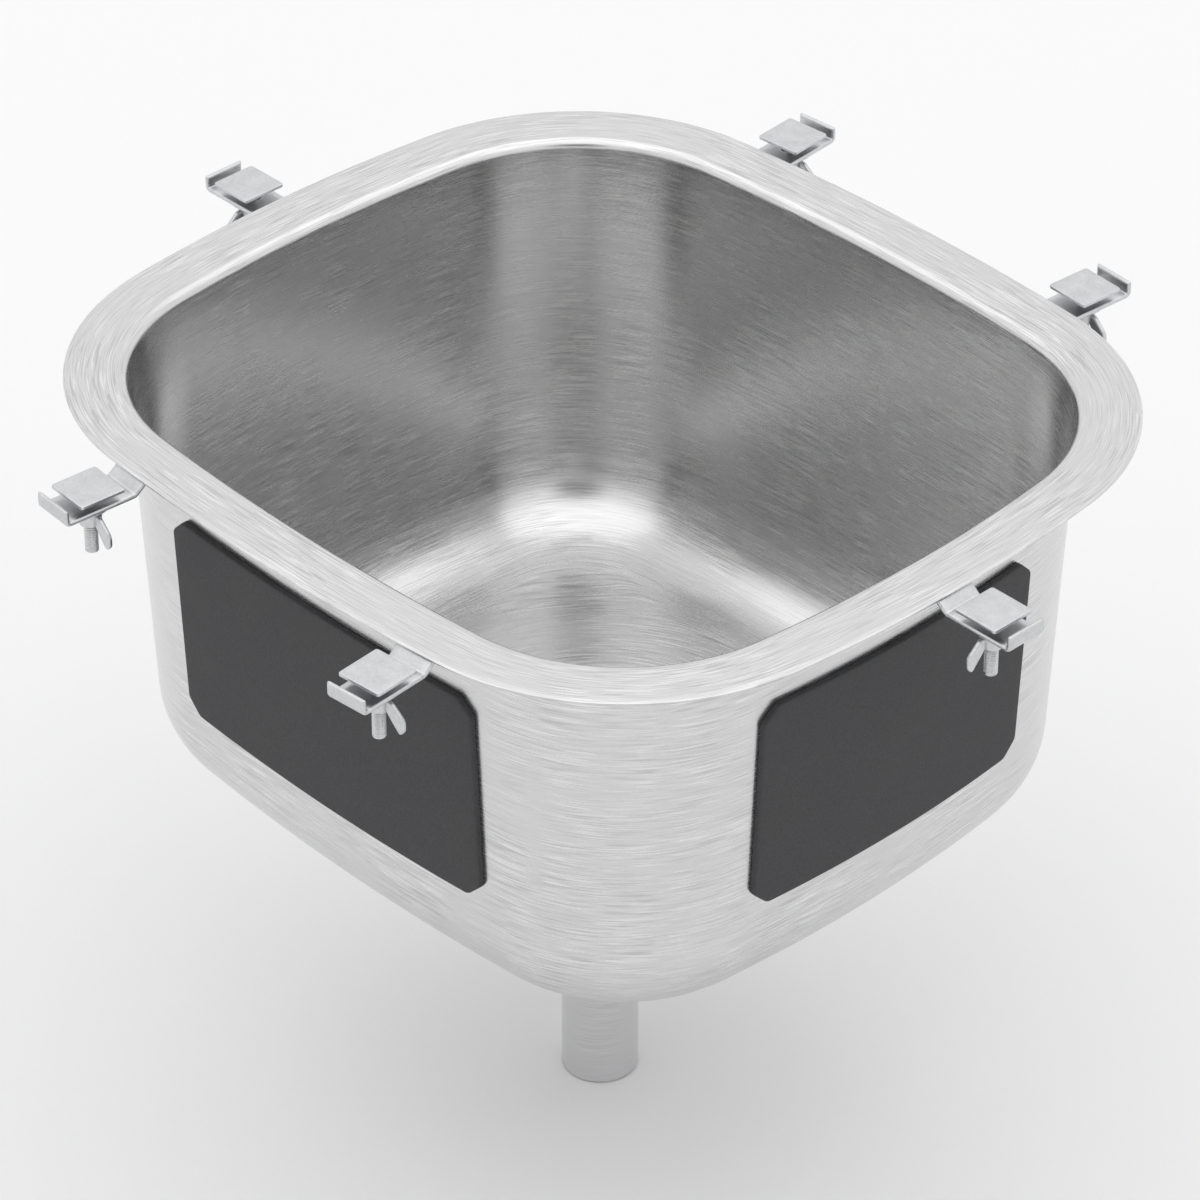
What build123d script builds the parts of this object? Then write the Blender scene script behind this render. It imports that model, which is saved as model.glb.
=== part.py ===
from build123d import *
import os
from math import asin, atan2, cos, degrees, hypot, radians, sqrt, tan

# Undermount kitchen sink: a pressed stainless bowl with its sound pads, basket
# strainer, tailpiece and worktop clips. Millimetres, +Z up. The origin is the
# centre of the bowl's mouth in the plane of the flange's top face, which is the
# underside of the worktop that the sink hangs from. The long way lies along X.

# ---- Driving dimensions: the mouth, drawn with eight tangent arcs ----
half_length = 200.0  # centre to the middle of an end, where flat flange turns into wall
half_width = 180.4  # centre to the middle of a side
corner_radius = 98.7
end_bow_radius = 780.0  # the two ends bow outwards on this radius
side_bow_radius = 1237.0  # and the two sides on this one

# ---- Driving dimensions: the pressed sheet ----
sheet = 1.2
flange_width = 25.0
rim_roll = 5.0  # bend from flange to wall, on the show face
wall_draft = 2.5  # degrees from upright
bowl_depth = 214.0  # flange to the flat edge of the floor
cove_radius = 44.0  # bend from wall to floor
fall_margin = 62.4  # side of the mouth to the circle inside which the floor falls
floor_fall = 2.0  # by this much, towards the drain
well_radius = 58.0  # recess that the strainer's flange sits in, at its bottom
well_ramp = 4.0  # its wall slopes out by this much
well_depth = 5.0
drain_hole_radius = 44.5

# ---- Driving dimensions: sound-deadening pads ----
pad_thickness = 3.0
glue_line = 0.1
pad_corner = 8.0
pad_height = 112.0
pad_middle_drop = 96.0  # flange to the middle of a wall pad
end_pad_length = 170.0
side_pad_length = 200.0
floor_pad_width = 58.0
floor_pad_length = 164.0
floor_pad_offset = 101.0  # drain centre to the middle of a floor pad

# ---- Driving dimensions: basket strainer ----
flange_gasket_thickness = 1.0
gasket_inset = 1.0  # gasket's edge inside the strainer's
strainer_flange_radius = 56.5
strainer_flange_thickness = 1.6
strainer_lip = 3.0
throat_radius = 40.5
throat_wall = 1.5
throat_length = 38.0  # flange top to the shoulder
shoulder_radius = 31.0
shoulder_drop = 10.0
outlet_radius = 19.5
outlet_drop = 4.5  # the conical seat that the stopper closes
nipple_radius = 23.8
nipple_length = 26.0
spider_hub_radius = 7.5
spider_bore_radius = 4.2
spider_drop = 4.0  # seat's lower edge to the top of the spider
spider_height = 6.0
spider_rib = 2.6
spider_ribs = 4

# ---- Driving dimensions: seals and nuts under the bowl ----
thread_clearance = 0.05
tight_gap = 0.05  # between faces that a fitter draws tight
seat_clearance = 0.6
sealing_washer_radius = 56.0
sealing_washer_thickness = 4.0
friction_washer_thickness = 1.0
locknut_radius = 50.0
locknut_height = 11.0
locknut_flange_radius = 55.0
locknut_flange_height = 2.5
locknut_lugs = 6
lug_width = 10.0
lug_root = 2.0  # how far a lug is sunk in the nut's wall
coupling_radius = 29.0
coupling_height = 23.0
coupling_lip_thickness = 3.0
coupling_lip_clearance = 1.0  # round the tailpiece
coupling_ribs = 8
coupling_rib_width = 4.0
coupling_rib_rise = 1.6
coupling_rib_margin = 3.0  # each end of a rib to the nut's face
tailpiece_washer_thickness = 2.0
tailpiece_radius = 19.05
tailpiece_wall = 0.9
tailpiece_length = 101.6
tailpiece_flange_radius = 23.2
tailpiece_flange_thickness = 1.0

# ---- Driving dimensions: lift-out basket ----
basket_clearance = 1.5  # basket rim to throat, all round
basket_wall = 0.8
basket_bead = 1.2
basket_drop = 9.0  # strainer flange top to the top of the basket's bead
basket_bottom_radius = 30.0
side_slots = 12
side_slot_width = 4.0
side_slot_length = 15.0
floor_slot_width = 3.2
inner_floor_slots = 4
inner_floor_slot_start = 8.0  # distances from the post's axis
inner_floor_slot_end = 14.5
outer_floor_slots = 8
outer_floor_slot_start = 17.5
outer_floor_slot_end = 26.0
stopper_radius = 28.0
stopper_foot_radius = 22.5
stopper_thickness = 4.5
stopper_chamfer = 1.5
stopper_seat_gap = 0.3
post_radius = 3.0
post_grip = 5.0  # length held inside the knob
post_tip_radius = 3.9
post_tip_length = 9.0
post_end_radius = 2.2
post_slit = 1.0
knob_radius = 11.0
knob_crown_radius = 7.0
knob_crown_drop = 3.0
knob_rim = 1.6
knob_height = 11.0
knob_neck_radius = 5.0
knob_top_rise = 1.0  # knob top above the strainer's flange
stopper_nut_radius = 6.5
stopper_nut_height = 2.6

# ---- Driving dimensions: worktop clips ----
small_round_sides = 8  # small repeated rounds are drawn with this many flats
side_clip_spacing = 190.0  # two clips on each side, one in the middle of each end
stud_offset = 21.0  # flange edge to stud
stud_radius = 3.175
stud_length = 34.0
anchor_plate = 24.0  # square, glued under the worktop
anchor_thickness = 1.6
clip_plate = 2.5
clip_width = 22.0
clip_bend = 3.0
clip_reach = 14.0  # how far the foot goes in under the flange
clip_bridge_drop = 6.0  # worktop to the top of the bridge
clip_heel_offset = 19.0  # stud to the middle of the heel
clip_foot_corner = 5.0
slot_width = 7.5
slot_length = 13.0
slot_corner = 2.0
clip_washer_radius = 9.0
clip_washer_thickness = 1.6
wing_hub_radius = 6.0
wing_hub_taper = 6.0  # degrees
wing_hub_height = 9.0
wing_root_radius = 4.0
wing_shoulder_radius = 8.0
wing_span_radius = 15.5
wing_rise = 8.0
wing_thickness = 2.4

# ---- Levels worked out from those sizes ----
wall_inset = rim_roll * tan(radians(45 - wall_draft / 2))
end_centre = Vector(half_length - end_bow_radius, 0)
side_centre = Vector(0, half_width - side_bow_radius)
fall_radius = half_width - fall_margin
lip_level = -bowl_depth - floor_fall
well_floor = lip_level - well_depth
strainer_bottom_of_flange = well_floor + flange_gasket_thickness
strainer_top = strainer_bottom_of_flange + strainer_flange_thickness
throat_bottom = strainer_top - throat_length
seat_top = throat_bottom - shoulder_drop
seat_bottom = seat_top - outlet_drop
nipple_bottom = seat_bottom - nipple_length
washer_top = well_floor - sheet
friction_top = washer_top - sealing_washer_thickness
locknut_top = friction_top - friction_washer_thickness
tailpiece_top = nipple_bottom - tailpiece_washer_thickness
thread_outer = throat_radius + throat_wall
seat_slope = outlet_drop / (shoulder_radius - outlet_radius)
stopper_bottom = seat_bottom + seat_slope * (stopper_foot_radius - outlet_radius) + stopper_seat_gap
basket_bottom = stopper_bottom + stopper_thickness
basket_top = strainer_top - basket_drop
basket_radius = throat_radius - basket_clearance
spider_top = seat_bottom - spider_drop
knob_top = strainer_top + knob_top_rise
knob_bottom = knob_top - knob_height
post_top = knob_bottom + post_grip
washer_underside = -clip_bridge_drop - clip_plate - tight_gap - clip_washer_thickness
flange_underside = -sheet


def corner_centre():
    """Centre of the corner arc, which touches an end arc and a side arc from inside."""
    end_reach = end_bow_radius - corner_radius
    side_reach = side_bow_radius - corner_radius
    span = side_centre - end_centre
    along = (end_reach**2 - side_reach**2 + span.length**2) / (2 * span.length)
    across = sqrt(end_reach**2 - along**2)
    unit = span.normalized()
    return end_centre + unit * along + Vector(-unit.Y, unit.X) * across


corner = corner_centre()
end_sweep = degrees(atan2(corner.Y - end_centre.Y, corner.X - end_centre.X))
side_sweep = 90 - degrees(atan2(corner.Y - side_centre.Y, corner.X - side_centre.X))


def bowed_outline(grow):
    """Face inside the mouth's outline, moved outwards by grow."""
    end = CenterArc(end_centre, end_bow_radius + grow, -end_sweep, 2 * end_sweep)
    turn = CenterArc(corner, corner_radius + grow, end_sweep, 90 - side_sweep - end_sweep)
    side = CenterArc(side_centre, side_bow_radius + grow, 90 - side_sweep, 2 * side_sweep)
    left_turn = turn.mirror(Plane.YZ)
    half = [turn, side, left_turn]
    return make_face([end, end.mirror(Plane.YZ), *half, *(arc.mirror(Plane.XZ) for arc in half)])


def turned(*corners):
    """Solid of revolution about Z from the (radius, height) corners of its section."""
    return revolve(Plane.XZ * make_face(Polyline(*corners, close=True)), Axis.Z)


def ring(inner, outer, top, thickness):
    """Flat washer whose top face lies at top."""
    disc = Cylinder(outer, thickness, align=(Align.CENTER, Align.CENTER, Align.MAX))
    hole = Cylinder(inner, thickness, align=(Align.CENTER, Align.CENTER, Align.MAX))
    return Pos(0, 0, top) * (disc - hole)


def small_round(radius):
    """Many-sided outline, for a small bore or boss, that clears a circle of this radius."""
    return RegularPolygon(radius, small_round_sides, major_radius=False)


def around(piece, count):
    """Copies of a piece, evenly turned about Z."""
    return [Rot(0, 0, turn * 360 / count) * piece for turn in range(count)]


# ---- Bowl ----
def floor_form(grow):
    """Everything above the floor and its drain well, out past the walls."""
    outer = half_length + half_width
    foot = well_radius + grow * well_ramp / well_depth / 2
    bottom = well_floor - grow
    level = -bowl_depth - grow
    return turned(
        (0, 0),
        (0, bottom),
        (foot, bottom),
        (foot + well_ramp, lip_level - grow),
        (fall_radius, level),
        (outer, level),
        (outer, 0),
    )


def is_wall_foot(edge, level):
    """True for the edges where the walls meet the flat of the floor at a level."""
    middle = edge @ 0.5
    return abs(middle.Z - level) < sheet / 4 and hypot(middle.X, middle.Y) > fall_radius + well_ramp


def basin(grow):
    """The bowl's hollow, or with grow the body that its sheet wraps round."""
    mouth = bowed_outline(grow / cos(radians(wall_draft)) - wall_inset)
    below_floor = 2 * well_depth
    walls = extrude(mouth, amount=-well_floor + below_floor, dir=(0, 0, -1), taper=wall_draft)
    form = floor_form(grow) & walls
    wall_feet = [e for e in form.edges() if is_wall_foot(e, -bowl_depth - grow)]
    return fillet(wall_feet, cove_radius + grow)


def pressed_form(grow, spare):
    """All the space above the sheet's face that lies grow under the show face."""
    slab = Pos(0, 0, -grow) * extrude(bowed_outline(flange_width + spare), 4 * rim_roll + spare)
    form = slab + basin(grow)
    mouth = bowed_outline(0)
    rim = [
        e
        for e in form.edges()
        if abs((e @ 0.5).Z + grow) < sheet / 4 and mouth.is_inside(Vector((e @ 0.5).X, (e @ 0.5).Y, 0))
    ]
    return fillet(rim, rim_roll - grow)


def make_bowl():
    """Sheet between two faces of the same pressing, with the drain hole cut through."""
    pressing = pressed_form(sheet, 0) - pressed_form(0, rim_roll)
    hole = Pos(0, 0, well_floor) * Cylinder(drain_hole_radius, 4 * sheet)
    return pressing - hole


# ---- Sound pads ----
def pad_skin():
    """Layer of pad thickness all over the outside of the basin."""
    return basin(sheet + glue_line + pad_thickness) - basin(sheet + glue_line)


def pad_window(length, height):
    """Outline of a pad with its corners cut off."""
    return chamfer(Rectangle(length, height).vertices(), pad_corner)


def make_pads():
    """Six pads cut from that layer through windows, one on each wall and two on the floor."""
    skin = pad_skin()
    reach = half_length + flange_width
    end_window = pad_window(end_pad_length, pad_height)
    side_window = pad_window(side_pad_length, pad_height)
    floor_cutter = extrude(pad_window(floor_pad_width, floor_pad_length), 4 * well_depth, both=True)
    middle = Pos(0, 0, -pad_middle_drop)
    below = Pos(0, 0, well_floor)
    cutters = {
        "sound_pad_right": middle * extrude(Plane.YZ * end_window, reach),
        "sound_pad_left": middle * extrude(Plane.YZ * end_window, -reach),
        "sound_pad_back": middle * extrude(Plane.XZ * side_window, -reach),
        "sound_pad_front": middle * extrude(Plane.XZ * side_window, reach),
        "floor_pad_right": below * Pos(floor_pad_offset, 0) * floor_cutter,
        "floor_pad_left": below * Pos(-floor_pad_offset, 0) * floor_cutter,
    }
    return {name: skin & cutter for name, cutter in cutters.items()}


# ---- Basket strainer, in three pieces brazed together ----
def make_strainer_cup():
    """Flanged cup that the basket drops into, open below at its shoulder."""
    return turned(
        (strainer_flange_radius, strainer_bottom_of_flange),
        (strainer_flange_radius, strainer_top),
        (throat_radius + strainer_lip, strainer_top),
        (throat_radius, strainer_top - strainer_lip),
        (throat_radius, throat_bottom),
        (shoulder_radius, seat_top),
        (shoulder_radius + throat_wall, seat_top),
        (thread_outer, throat_bottom - throat_wall),
        (thread_outer, strainer_bottom_of_flange),
    )


def make_outlet_nipple():
    """Conical seat for the stopper, running down into a threaded nipple."""
    return turned(
        (shoulder_radius, seat_top),
        (outlet_radius, seat_bottom),
        (outlet_radius, nipple_bottom),
        (nipple_radius, nipple_bottom),
        (nipple_radius, seat_bottom - throat_wall),
        (shoulder_radius + throat_wall, seat_top - throat_wall),
        (shoulder_radius + throat_wall, seat_top),
    )


def make_crosspiece():
    """Hub on ribs that stand in the top of the outlet and guide the basket's post."""
    hub = extrude(small_round(spider_hub_radius), -spider_height)
    reach = outlet_radius - thread_clearance
    rib = Box(reach, spider_rib, spider_height, align=(Align.MIN, Align.CENTER, Align.MAX))
    bore = extrude(small_round(spider_bore_radius), spider_height, both=True)
    return Pos(0, 0, spider_top) * (hub + around(rib, spider_ribs) - bore)


# ---- Seals and nuts ----
def make_locknut():
    """Ring nut with a flange on top and lugs for the spanner."""
    bore = thread_outer + thread_clearance
    flange_bottom = locknut_top - locknut_flange_height
    bottom = locknut_top - locknut_height
    nut = turned(
        (bore, locknut_top),
        (locknut_flange_radius, locknut_top),
        (locknut_flange_radius, flange_bottom),
        (locknut_radius, flange_bottom),
        (locknut_radius, bottom),
        (bore, bottom),
    )
    lug_reach = locknut_flange_radius - locknut_radius + lug_root
    lug_height = locknut_height - locknut_flange_height / 2
    lug = Box(lug_reach, lug_width, lug_height, align=(Align.MAX, Align.CENTER, Align.MIN))
    lug = Pos(locknut_flange_radius, 0, bottom) * lug
    return nut + around(lug, locknut_lugs)


def make_coupling_nut():
    """Slip nut that draws the tailpiece's flange up against the nipple."""
    bottom = tailpiece_top - tailpiece_flange_thickness - thread_clearance - coupling_lip_thickness
    lip_top = bottom + coupling_lip_thickness
    top = bottom + coupling_height
    inside = nipple_radius + thread_clearance
    nut = turned(
        (inside, top),
        (coupling_radius, top),
        (coupling_radius, bottom),
        (tailpiece_radius + coupling_lip_clearance, bottom),
        (tailpiece_radius + coupling_lip_clearance, lip_top),
        (inside, lip_top),
    )
    rib_height = coupling_height - 2 * coupling_rib_margin
    rib = Box(2 * coupling_rib_rise, coupling_rib_width, rib_height)
    rib = Pos(coupling_radius, 0, bottom + coupling_height / 2) * rib
    return nut + around(rib, coupling_ribs)


def make_tailpiece():
    """Thin tube with a flange rolled out at its top."""
    bottom = tailpiece_top - tailpiece_length
    inside = tailpiece_radius - tailpiece_wall
    return turned(
        (inside, tailpiece_top),
        (tailpiece_flange_radius, tailpiece_top),
        (tailpiece_flange_radius, tailpiece_top - tailpiece_flange_thickness),
        (tailpiece_radius, tailpiece_top - tailpiece_flange_thickness),
        (tailpiece_radius, bottom),
        (inside, bottom),
    )


# ---- Basket ----
def make_basket_cup():
    """Pressed cup with a beaded rim, slots down its side and two rings of slots in its floor."""
    bore = post_radius + thread_clearance
    bead_bottom = basket_top - 2 * basket_bead
    shell = turned(
        (basket_radius - 2 * basket_bead, basket_top),
        (basket_radius, basket_top),
        (basket_radius, bead_bottom),
        (basket_radius - basket_bead, bead_bottom),
        (basket_bottom_radius, basket_bottom),
        (bore, basket_bottom),
        (bore, basket_bottom + basket_wall),
        (basket_bottom_radius - basket_wall, basket_bottom + basket_wall),
    )
    side_slot = Pos(0, 0, (bead_bottom + basket_bottom) / 2) * Box(
        basket_radius, side_slot_width, side_slot_length, align=(Align.MIN, Align.CENTER, Align.CENTER)
    )
    inner_slot = floor_slot(inner_floor_slot_start, inner_floor_slot_end)
    outer_slot = floor_slot(outer_floor_slot_start, outer_floor_slot_end)
    shell -= around(side_slot, side_slots)
    shell -= around(inner_slot, inner_floor_slots)
    return shell - around(outer_slot, outer_floor_slots)


def floor_slot(start, end):
    """Cutter for a slot that runs outwards from start to end through the basket's floor."""
    middle = Pos((start + end) / 2, 0, basket_bottom)
    return middle * Box(end - start, floor_slot_width, 4 * basket_wall)


def make_basket_stopper():
    """Rubber disc under the cup, coned to the strainer's seat."""
    edge_bottom = stopper_bottom + seat_slope * (stopper_radius - stopper_foot_radius)
    bore = post_radius + thread_clearance
    return turned(
        (bore, basket_bottom),
        (stopper_radius - stopper_chamfer, basket_bottom),
        (stopper_radius, basket_bottom - stopper_chamfer),
        (stopper_radius, edge_bottom),
        (stopper_foot_radius, stopper_bottom),
        (bore, stopper_bottom),
    )


def make_basket_post():
    """Rod from the knob down through the stopper, with a split spring tip for the spider."""
    tip_bottom = spider_top - spider_height - post_tip_length
    tip_middle = tip_bottom + post_tip_length / 2
    rod = turned(
        (0, post_top),
        (post_radius, post_top),
        (post_radius, tip_middle + post_tip_length / 4),
        (post_tip_radius, tip_middle),
        (post_end_radius, tip_bottom),
        (0, tip_bottom),
    )
    slit = Box(2 * post_tip_radius, post_slit, post_tip_length, align=(Align.CENTER, Align.CENTER, Align.MIN))
    slit = Pos(0, 0, tip_bottom) * slit
    return rod - slit


def make_basket_knob():
    """Mushroom knob pushed on to the post."""
    bore = post_radius + thread_clearance
    bore_top = post_top + thread_clearance
    rim_top = knob_top - knob_crown_drop
    rim_bottom = rim_top - knob_rim
    return turned(
        (0, knob_top),
        (knob_crown_radius, knob_top),
        (knob_radius, rim_top),
        (knob_radius, rim_bottom),
        (knob_neck_radius, rim_bottom - knob_rim),
        (knob_neck_radius, knob_bottom),
        (bore, knob_bottom),
        (bore, bore_top),
        (0, bore_top),
    )


def make_stopper_nut():
    """Hexagon nut that holds the stopper up against the cup."""
    outline = RegularPolygon(stopper_nut_radius, 6) - small_round(post_radius + thread_clearance)
    return Pos(0, 0, stopper_bottom - tight_gap) * extrude(outline, -stopper_nut_height)


# ---- Worktop clips ----
def clip_places():
    """Frames on the flange's edge with +X away from the bowl, anticlockwise from the +X end."""
    end_reach = end_bow_radius + flange_width
    side_reach = side_bow_radius + flange_width
    turn = degrees(asin(side_clip_spacing / 2 / side_reach))
    places = []
    for centre, reach, headings in (
        (end_centre, end_reach, (0,)),
        (side_centre, side_reach, (90 - turn, 90 + turn)),
        (-end_centre, end_reach, (180,)),
        (-side_centre, side_reach, (270 - turn, 270 + turn)),
    ):
        for heading in headings:
            places.append(Pos(centre.X, centre.Y) * Rot(0, 0, heading) * Pos(reach, 0))
    return places


def make_anchor_stud():
    """Square plate that is glued under the worktop, with a threaded stud welded to it."""
    plate = Box(anchor_plate, anchor_plate, anchor_thickness, align=(Align.CENTER, Align.CENTER, Align.MAX))
    stud = extrude(small_round(stud_radius), -stud_length)
    return Pos(stud_offset, 0, 0) * (plate + stud)


def make_clip():
    """Cranked strap: foot under the flange, bridge on the stud, heel turned up to the worktop."""
    foot = flange_underside - tight_gap - clip_plate / 2
    bridge = -clip_bridge_drop - clip_plate / 2
    heel = stud_offset + clip_heel_offset
    line = FilletPolyline(
        (-clip_reach, foot),
        (-clip_bend, foot),
        (clip_bend, bridge),
        (heel, bridge),
        (heel, -tight_gap),
        radius=clip_bend,
    )
    strap = extrude(Plane.XZ * trace(line, clip_plate), clip_width / 2, both=True)
    foot_corners = strap.edges().filter_by(Axis.Z).group_by(Axis.X)[0]
    strap = chamfer(foot_corners, clip_foot_corner)
    slot_outline = chamfer(Rectangle(slot_length, slot_width).vertices(), slot_corner)
    return strap - Pos(stud_offset, 0, bridge) * extrude(slot_outline, clip_plate, both=True)


def make_clip_washer():
    """Plain washer under the bridge."""
    outline = small_round(clip_washer_radius) - small_round(stud_radius + thread_clearance)
    return Pos(stud_offset, 0, washer_underside) * extrude(outline, clip_washer_thickness)


def make_wing_nut():
    """Tapered hub with two wings that lean down and outwards."""
    hub = extrude(small_round(wing_hub_radius), wing_hub_height, dir=(0, 0, -1), taper=wing_hub_taper)
    bore = extrude(small_round(stud_radius + thread_clearance), wing_hub_height, both=True)
    wing_outline = Polyline(
        (wing_root_radius, -wing_thickness),
        (wing_shoulder_radius, -wing_thickness),
        (wing_span_radius, -wing_hub_height),
        (wing_span_radius, -wing_hub_height - wing_rise + wing_thickness),
        (wing_span_radius - wing_thickness, -wing_hub_height - wing_rise),
        (wing_shoulder_radius, -wing_hub_height - wing_thickness),
        (wing_root_radius, -wing_hub_height + wing_thickness),
        close=True,
    )
    wing = extrude(Plane.XZ * make_face(wing_outline), wing_thickness / 2, both=True)
    nut = Rot(0, 0, 90) * (hub + around(wing, 2))
    return Pos(stud_offset, 0, washer_underside) * (nut - bore)


def set_out(piece):
    """The same piece at every clip's place, as one group."""
    return Compound([(place * piece).solid() for place in clip_places()])


# ---- Write one file for each piece ----
gasket_edge = strainer_flange_radius - gasket_inset
thread_space = thread_outer + seat_clearance
tube_space = tailpiece_radius + thread_clearance
pieces = {
    "bowl": make_bowl(),
    **make_pads(),
    "flange_gasket": ring(drain_hole_radius, gasket_edge, strainer_bottom_of_flange, flange_gasket_thickness),
    "strainer_cup": make_strainer_cup(),
    "outlet_nipple": make_outlet_nipple(),
    "crosspiece": make_crosspiece(),
    "sealing_washer": ring(thread_space, sealing_washer_radius, washer_top, sealing_washer_thickness),
    "friction_washer": ring(thread_space, locknut_flange_radius, friction_top, friction_washer_thickness),
    "locknut": make_locknut(),
    "tailpiece_washer": ring(tube_space, tailpiece_flange_radius, nipple_bottom, tailpiece_washer_thickness),
    "tailpiece": make_tailpiece(),
    "coupling_nut": make_coupling_nut(),
    "basket_cup": make_basket_cup(),
    "basket_stopper": make_basket_stopper(),
    "stopper_nut": make_stopper_nut(),
    "basket_post": make_basket_post(),
    "basket_knob": make_basket_knob(),
    "anchor_studs": set_out(make_anchor_stud()),
    "clip_washers": set_out(make_clip_washer()),
    "wing_nuts": set_out(make_wing_nut()),
}
clip = make_clip()
for number, place in enumerate(clip_places(), start=1):
    pieces[f"clip_{number}"] = place * clip

os.makedirs("parts", exist_ok=True)
for name, piece in pieces.items():
    export_step(piece, f"parts/{name}.step")
    print(name, len(piece.solids()), round(piece.volume), piece.is_valid)
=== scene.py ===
import math
import bmesh
import bpy
import numpy as np
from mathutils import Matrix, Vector


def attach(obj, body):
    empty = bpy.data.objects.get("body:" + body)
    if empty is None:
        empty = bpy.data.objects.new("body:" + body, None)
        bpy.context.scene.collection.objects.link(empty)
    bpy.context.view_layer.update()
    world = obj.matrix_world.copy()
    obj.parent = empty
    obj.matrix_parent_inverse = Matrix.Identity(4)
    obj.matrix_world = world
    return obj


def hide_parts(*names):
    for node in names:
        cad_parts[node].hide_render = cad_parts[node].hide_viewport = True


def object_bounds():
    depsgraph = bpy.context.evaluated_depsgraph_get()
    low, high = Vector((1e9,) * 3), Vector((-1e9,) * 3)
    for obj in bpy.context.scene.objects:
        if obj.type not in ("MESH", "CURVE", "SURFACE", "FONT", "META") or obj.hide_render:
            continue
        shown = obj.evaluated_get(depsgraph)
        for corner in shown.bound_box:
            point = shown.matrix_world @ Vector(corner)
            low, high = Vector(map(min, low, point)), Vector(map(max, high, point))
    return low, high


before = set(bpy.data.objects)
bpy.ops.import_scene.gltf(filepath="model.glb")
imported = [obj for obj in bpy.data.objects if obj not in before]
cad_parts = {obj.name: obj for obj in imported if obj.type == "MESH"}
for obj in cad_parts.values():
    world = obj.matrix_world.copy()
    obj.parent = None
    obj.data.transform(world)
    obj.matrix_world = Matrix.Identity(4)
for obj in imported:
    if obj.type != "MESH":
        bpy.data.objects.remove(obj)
cad_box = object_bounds()

# ---- Camera ----
# A long lens some way off, looking down across the near corner of the bowl into the far
# one. It is turned a little below the mouth, so that the tailpiece is in the picture too.
camera_azimuth = math.radians(46.28)
camera_elevation = math.radians(33.24)
camera_distance = 2.5424
camera_film = 36
camera_lens = 167.5  # both in mm
camera_target = Vector((0.0134, -0.0096, 0.0))  # what it stands over, in the mouth
camera_aim = Vector((0.0, 0.0, -0.121))

level_reach = math.cos(camera_elevation)
towards_camera = Vector(
    (
        math.sin(camera_azimuth) * level_reach,
        -math.cos(camera_azimuth) * level_reach,
        math.sin(camera_elevation),
    )
)
lens = bpy.data.cameras.new("camera")
lens.lens, lens.sensor_width = camera_lens, camera_film
camera = bpy.data.objects.new("camera", lens)
camera.location = camera_target + towards_camera * camera_distance
camera.rotation_euler = (camera.location - camera_aim).to_track_quat("Z", "Y").to_euler()
bpy.context.scene.collection.objects.link(camera)
bpy.context.scene.camera = camera


# ---- Bowl ----
# One sheet of 1.2 mm stainless steel, drawn deep in a press, with a flat flange, a bend
# into the walls, a wide cove into the floor and a stepped well round the drain hole. It is
# brushed along the walls, and in circles round the drain on the floor.
half_length = 0.200
half_width = 0.1804
corner_radius = 0.0987
end_bow_radius = 0.780
side_bow_radius = 1.237
sheet = 0.0012
flange_width = 0.025
rim_roll = 0.005
wall_draft = math.radians(2.5)
bowl_depth = 0.214
cove_radius = 0.044
fall_radius = half_width - 0.0624
floor_fall = 0.002
well_lip_radius = 0.062
well_foot_radius = 0.058
well_depth = 0.005
well_round = 0.0022
drain_hole_radius = 0.0445
wall_inset = rim_roll * math.tan(math.pi / 4 - wall_draft / 2)
well_floor = -bowl_depth - floor_fall - well_depth
bowl_columns = 320
flange_rows, bend_rows, wall_rows, cove_rows, floor_rows = 7, 9, 14, 20, 20
edge_rows = 5  # round the sheet's raw edges
floor_start = flange_rows + bend_rows + wall_rows + cove_rows - 1
bowl_colour = (0.66, 0.66, 0.66)


def corner_centre():
    """Where a circle of the corner's radius touches the end arc and the side arc from inside."""
    end_reach = end_bow_radius - corner_radius
    side_reach = side_bow_radius - corner_radius
    end_centre = np.array([half_length - end_bow_radius, 0.0])
    span = np.array([0.0, half_width - side_bow_radius]) - end_centre
    distance = np.hypot(*span)
    along = (end_reach**2 - side_reach**2 + distance**2) / (2 * distance)
    across = math.sqrt(end_reach**2 - along**2)
    unit = span / distance
    return end_centre + unit * along + np.array([-unit[1], unit[0]]) * across


def mouth_line(count):
    """Evenly spaced points and outward normals along the mouth, anticlockwise from +X.

    The line is eight tangent arcs. The normal's heading grows evenly along each arc, so
    heading is linear in distance between the arcs' ends, and a point is its arc's centre
    plus the arc's radius along the heading.
    """
    corner = corner_centre()
    end_shift = end_bow_radius - half_length
    side_shift = side_bow_radius - half_width
    end_turn = math.atan2(corner[1], corner[0] + end_shift)
    side_turn = math.pi / 2 - math.atan2(corner[0], corner[1] + side_shift)
    stops = [0, end_turn, side_turn, math.pi - side_turn, math.pi - end_turn]
    stops += [math.pi + end_turn, math.pi + side_turn]
    stops += [2 * math.pi - side_turn, 2 * math.pi - end_turn, 2 * math.pi]
    radii = [end_bow_radius, corner_radius, side_bow_radius, corner_radius]
    radii = np.array(radii * 2 + [end_bow_radius])
    flip = [(1, 0), (1, 1), (0, 1), (-1, 1), (-1, 0), (-1, -1), (0, -1), (1, -1), (1, 0)]
    shift = [(-end_shift, 0), corner, (0, -side_shift), corner] * 2 + [(-end_shift, 0)]
    centres = np.array(flip) * np.array(shift)
    reached = np.concatenate([[0], np.cumsum(radii * np.diff(stops))])
    distance = np.arange(count) * reached[-1] / count
    heading = np.interp(distance, reached, stops)
    arc = np.searchsorted(reached, distance, side="right") - 1
    arc = np.clip(arc, 0, len(radii) - 1)
    normal = np.stack([np.cos(heading), np.sin(heading)], axis=-1)
    return centres[arc] + radii[arc, None] * normal, normal


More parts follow.
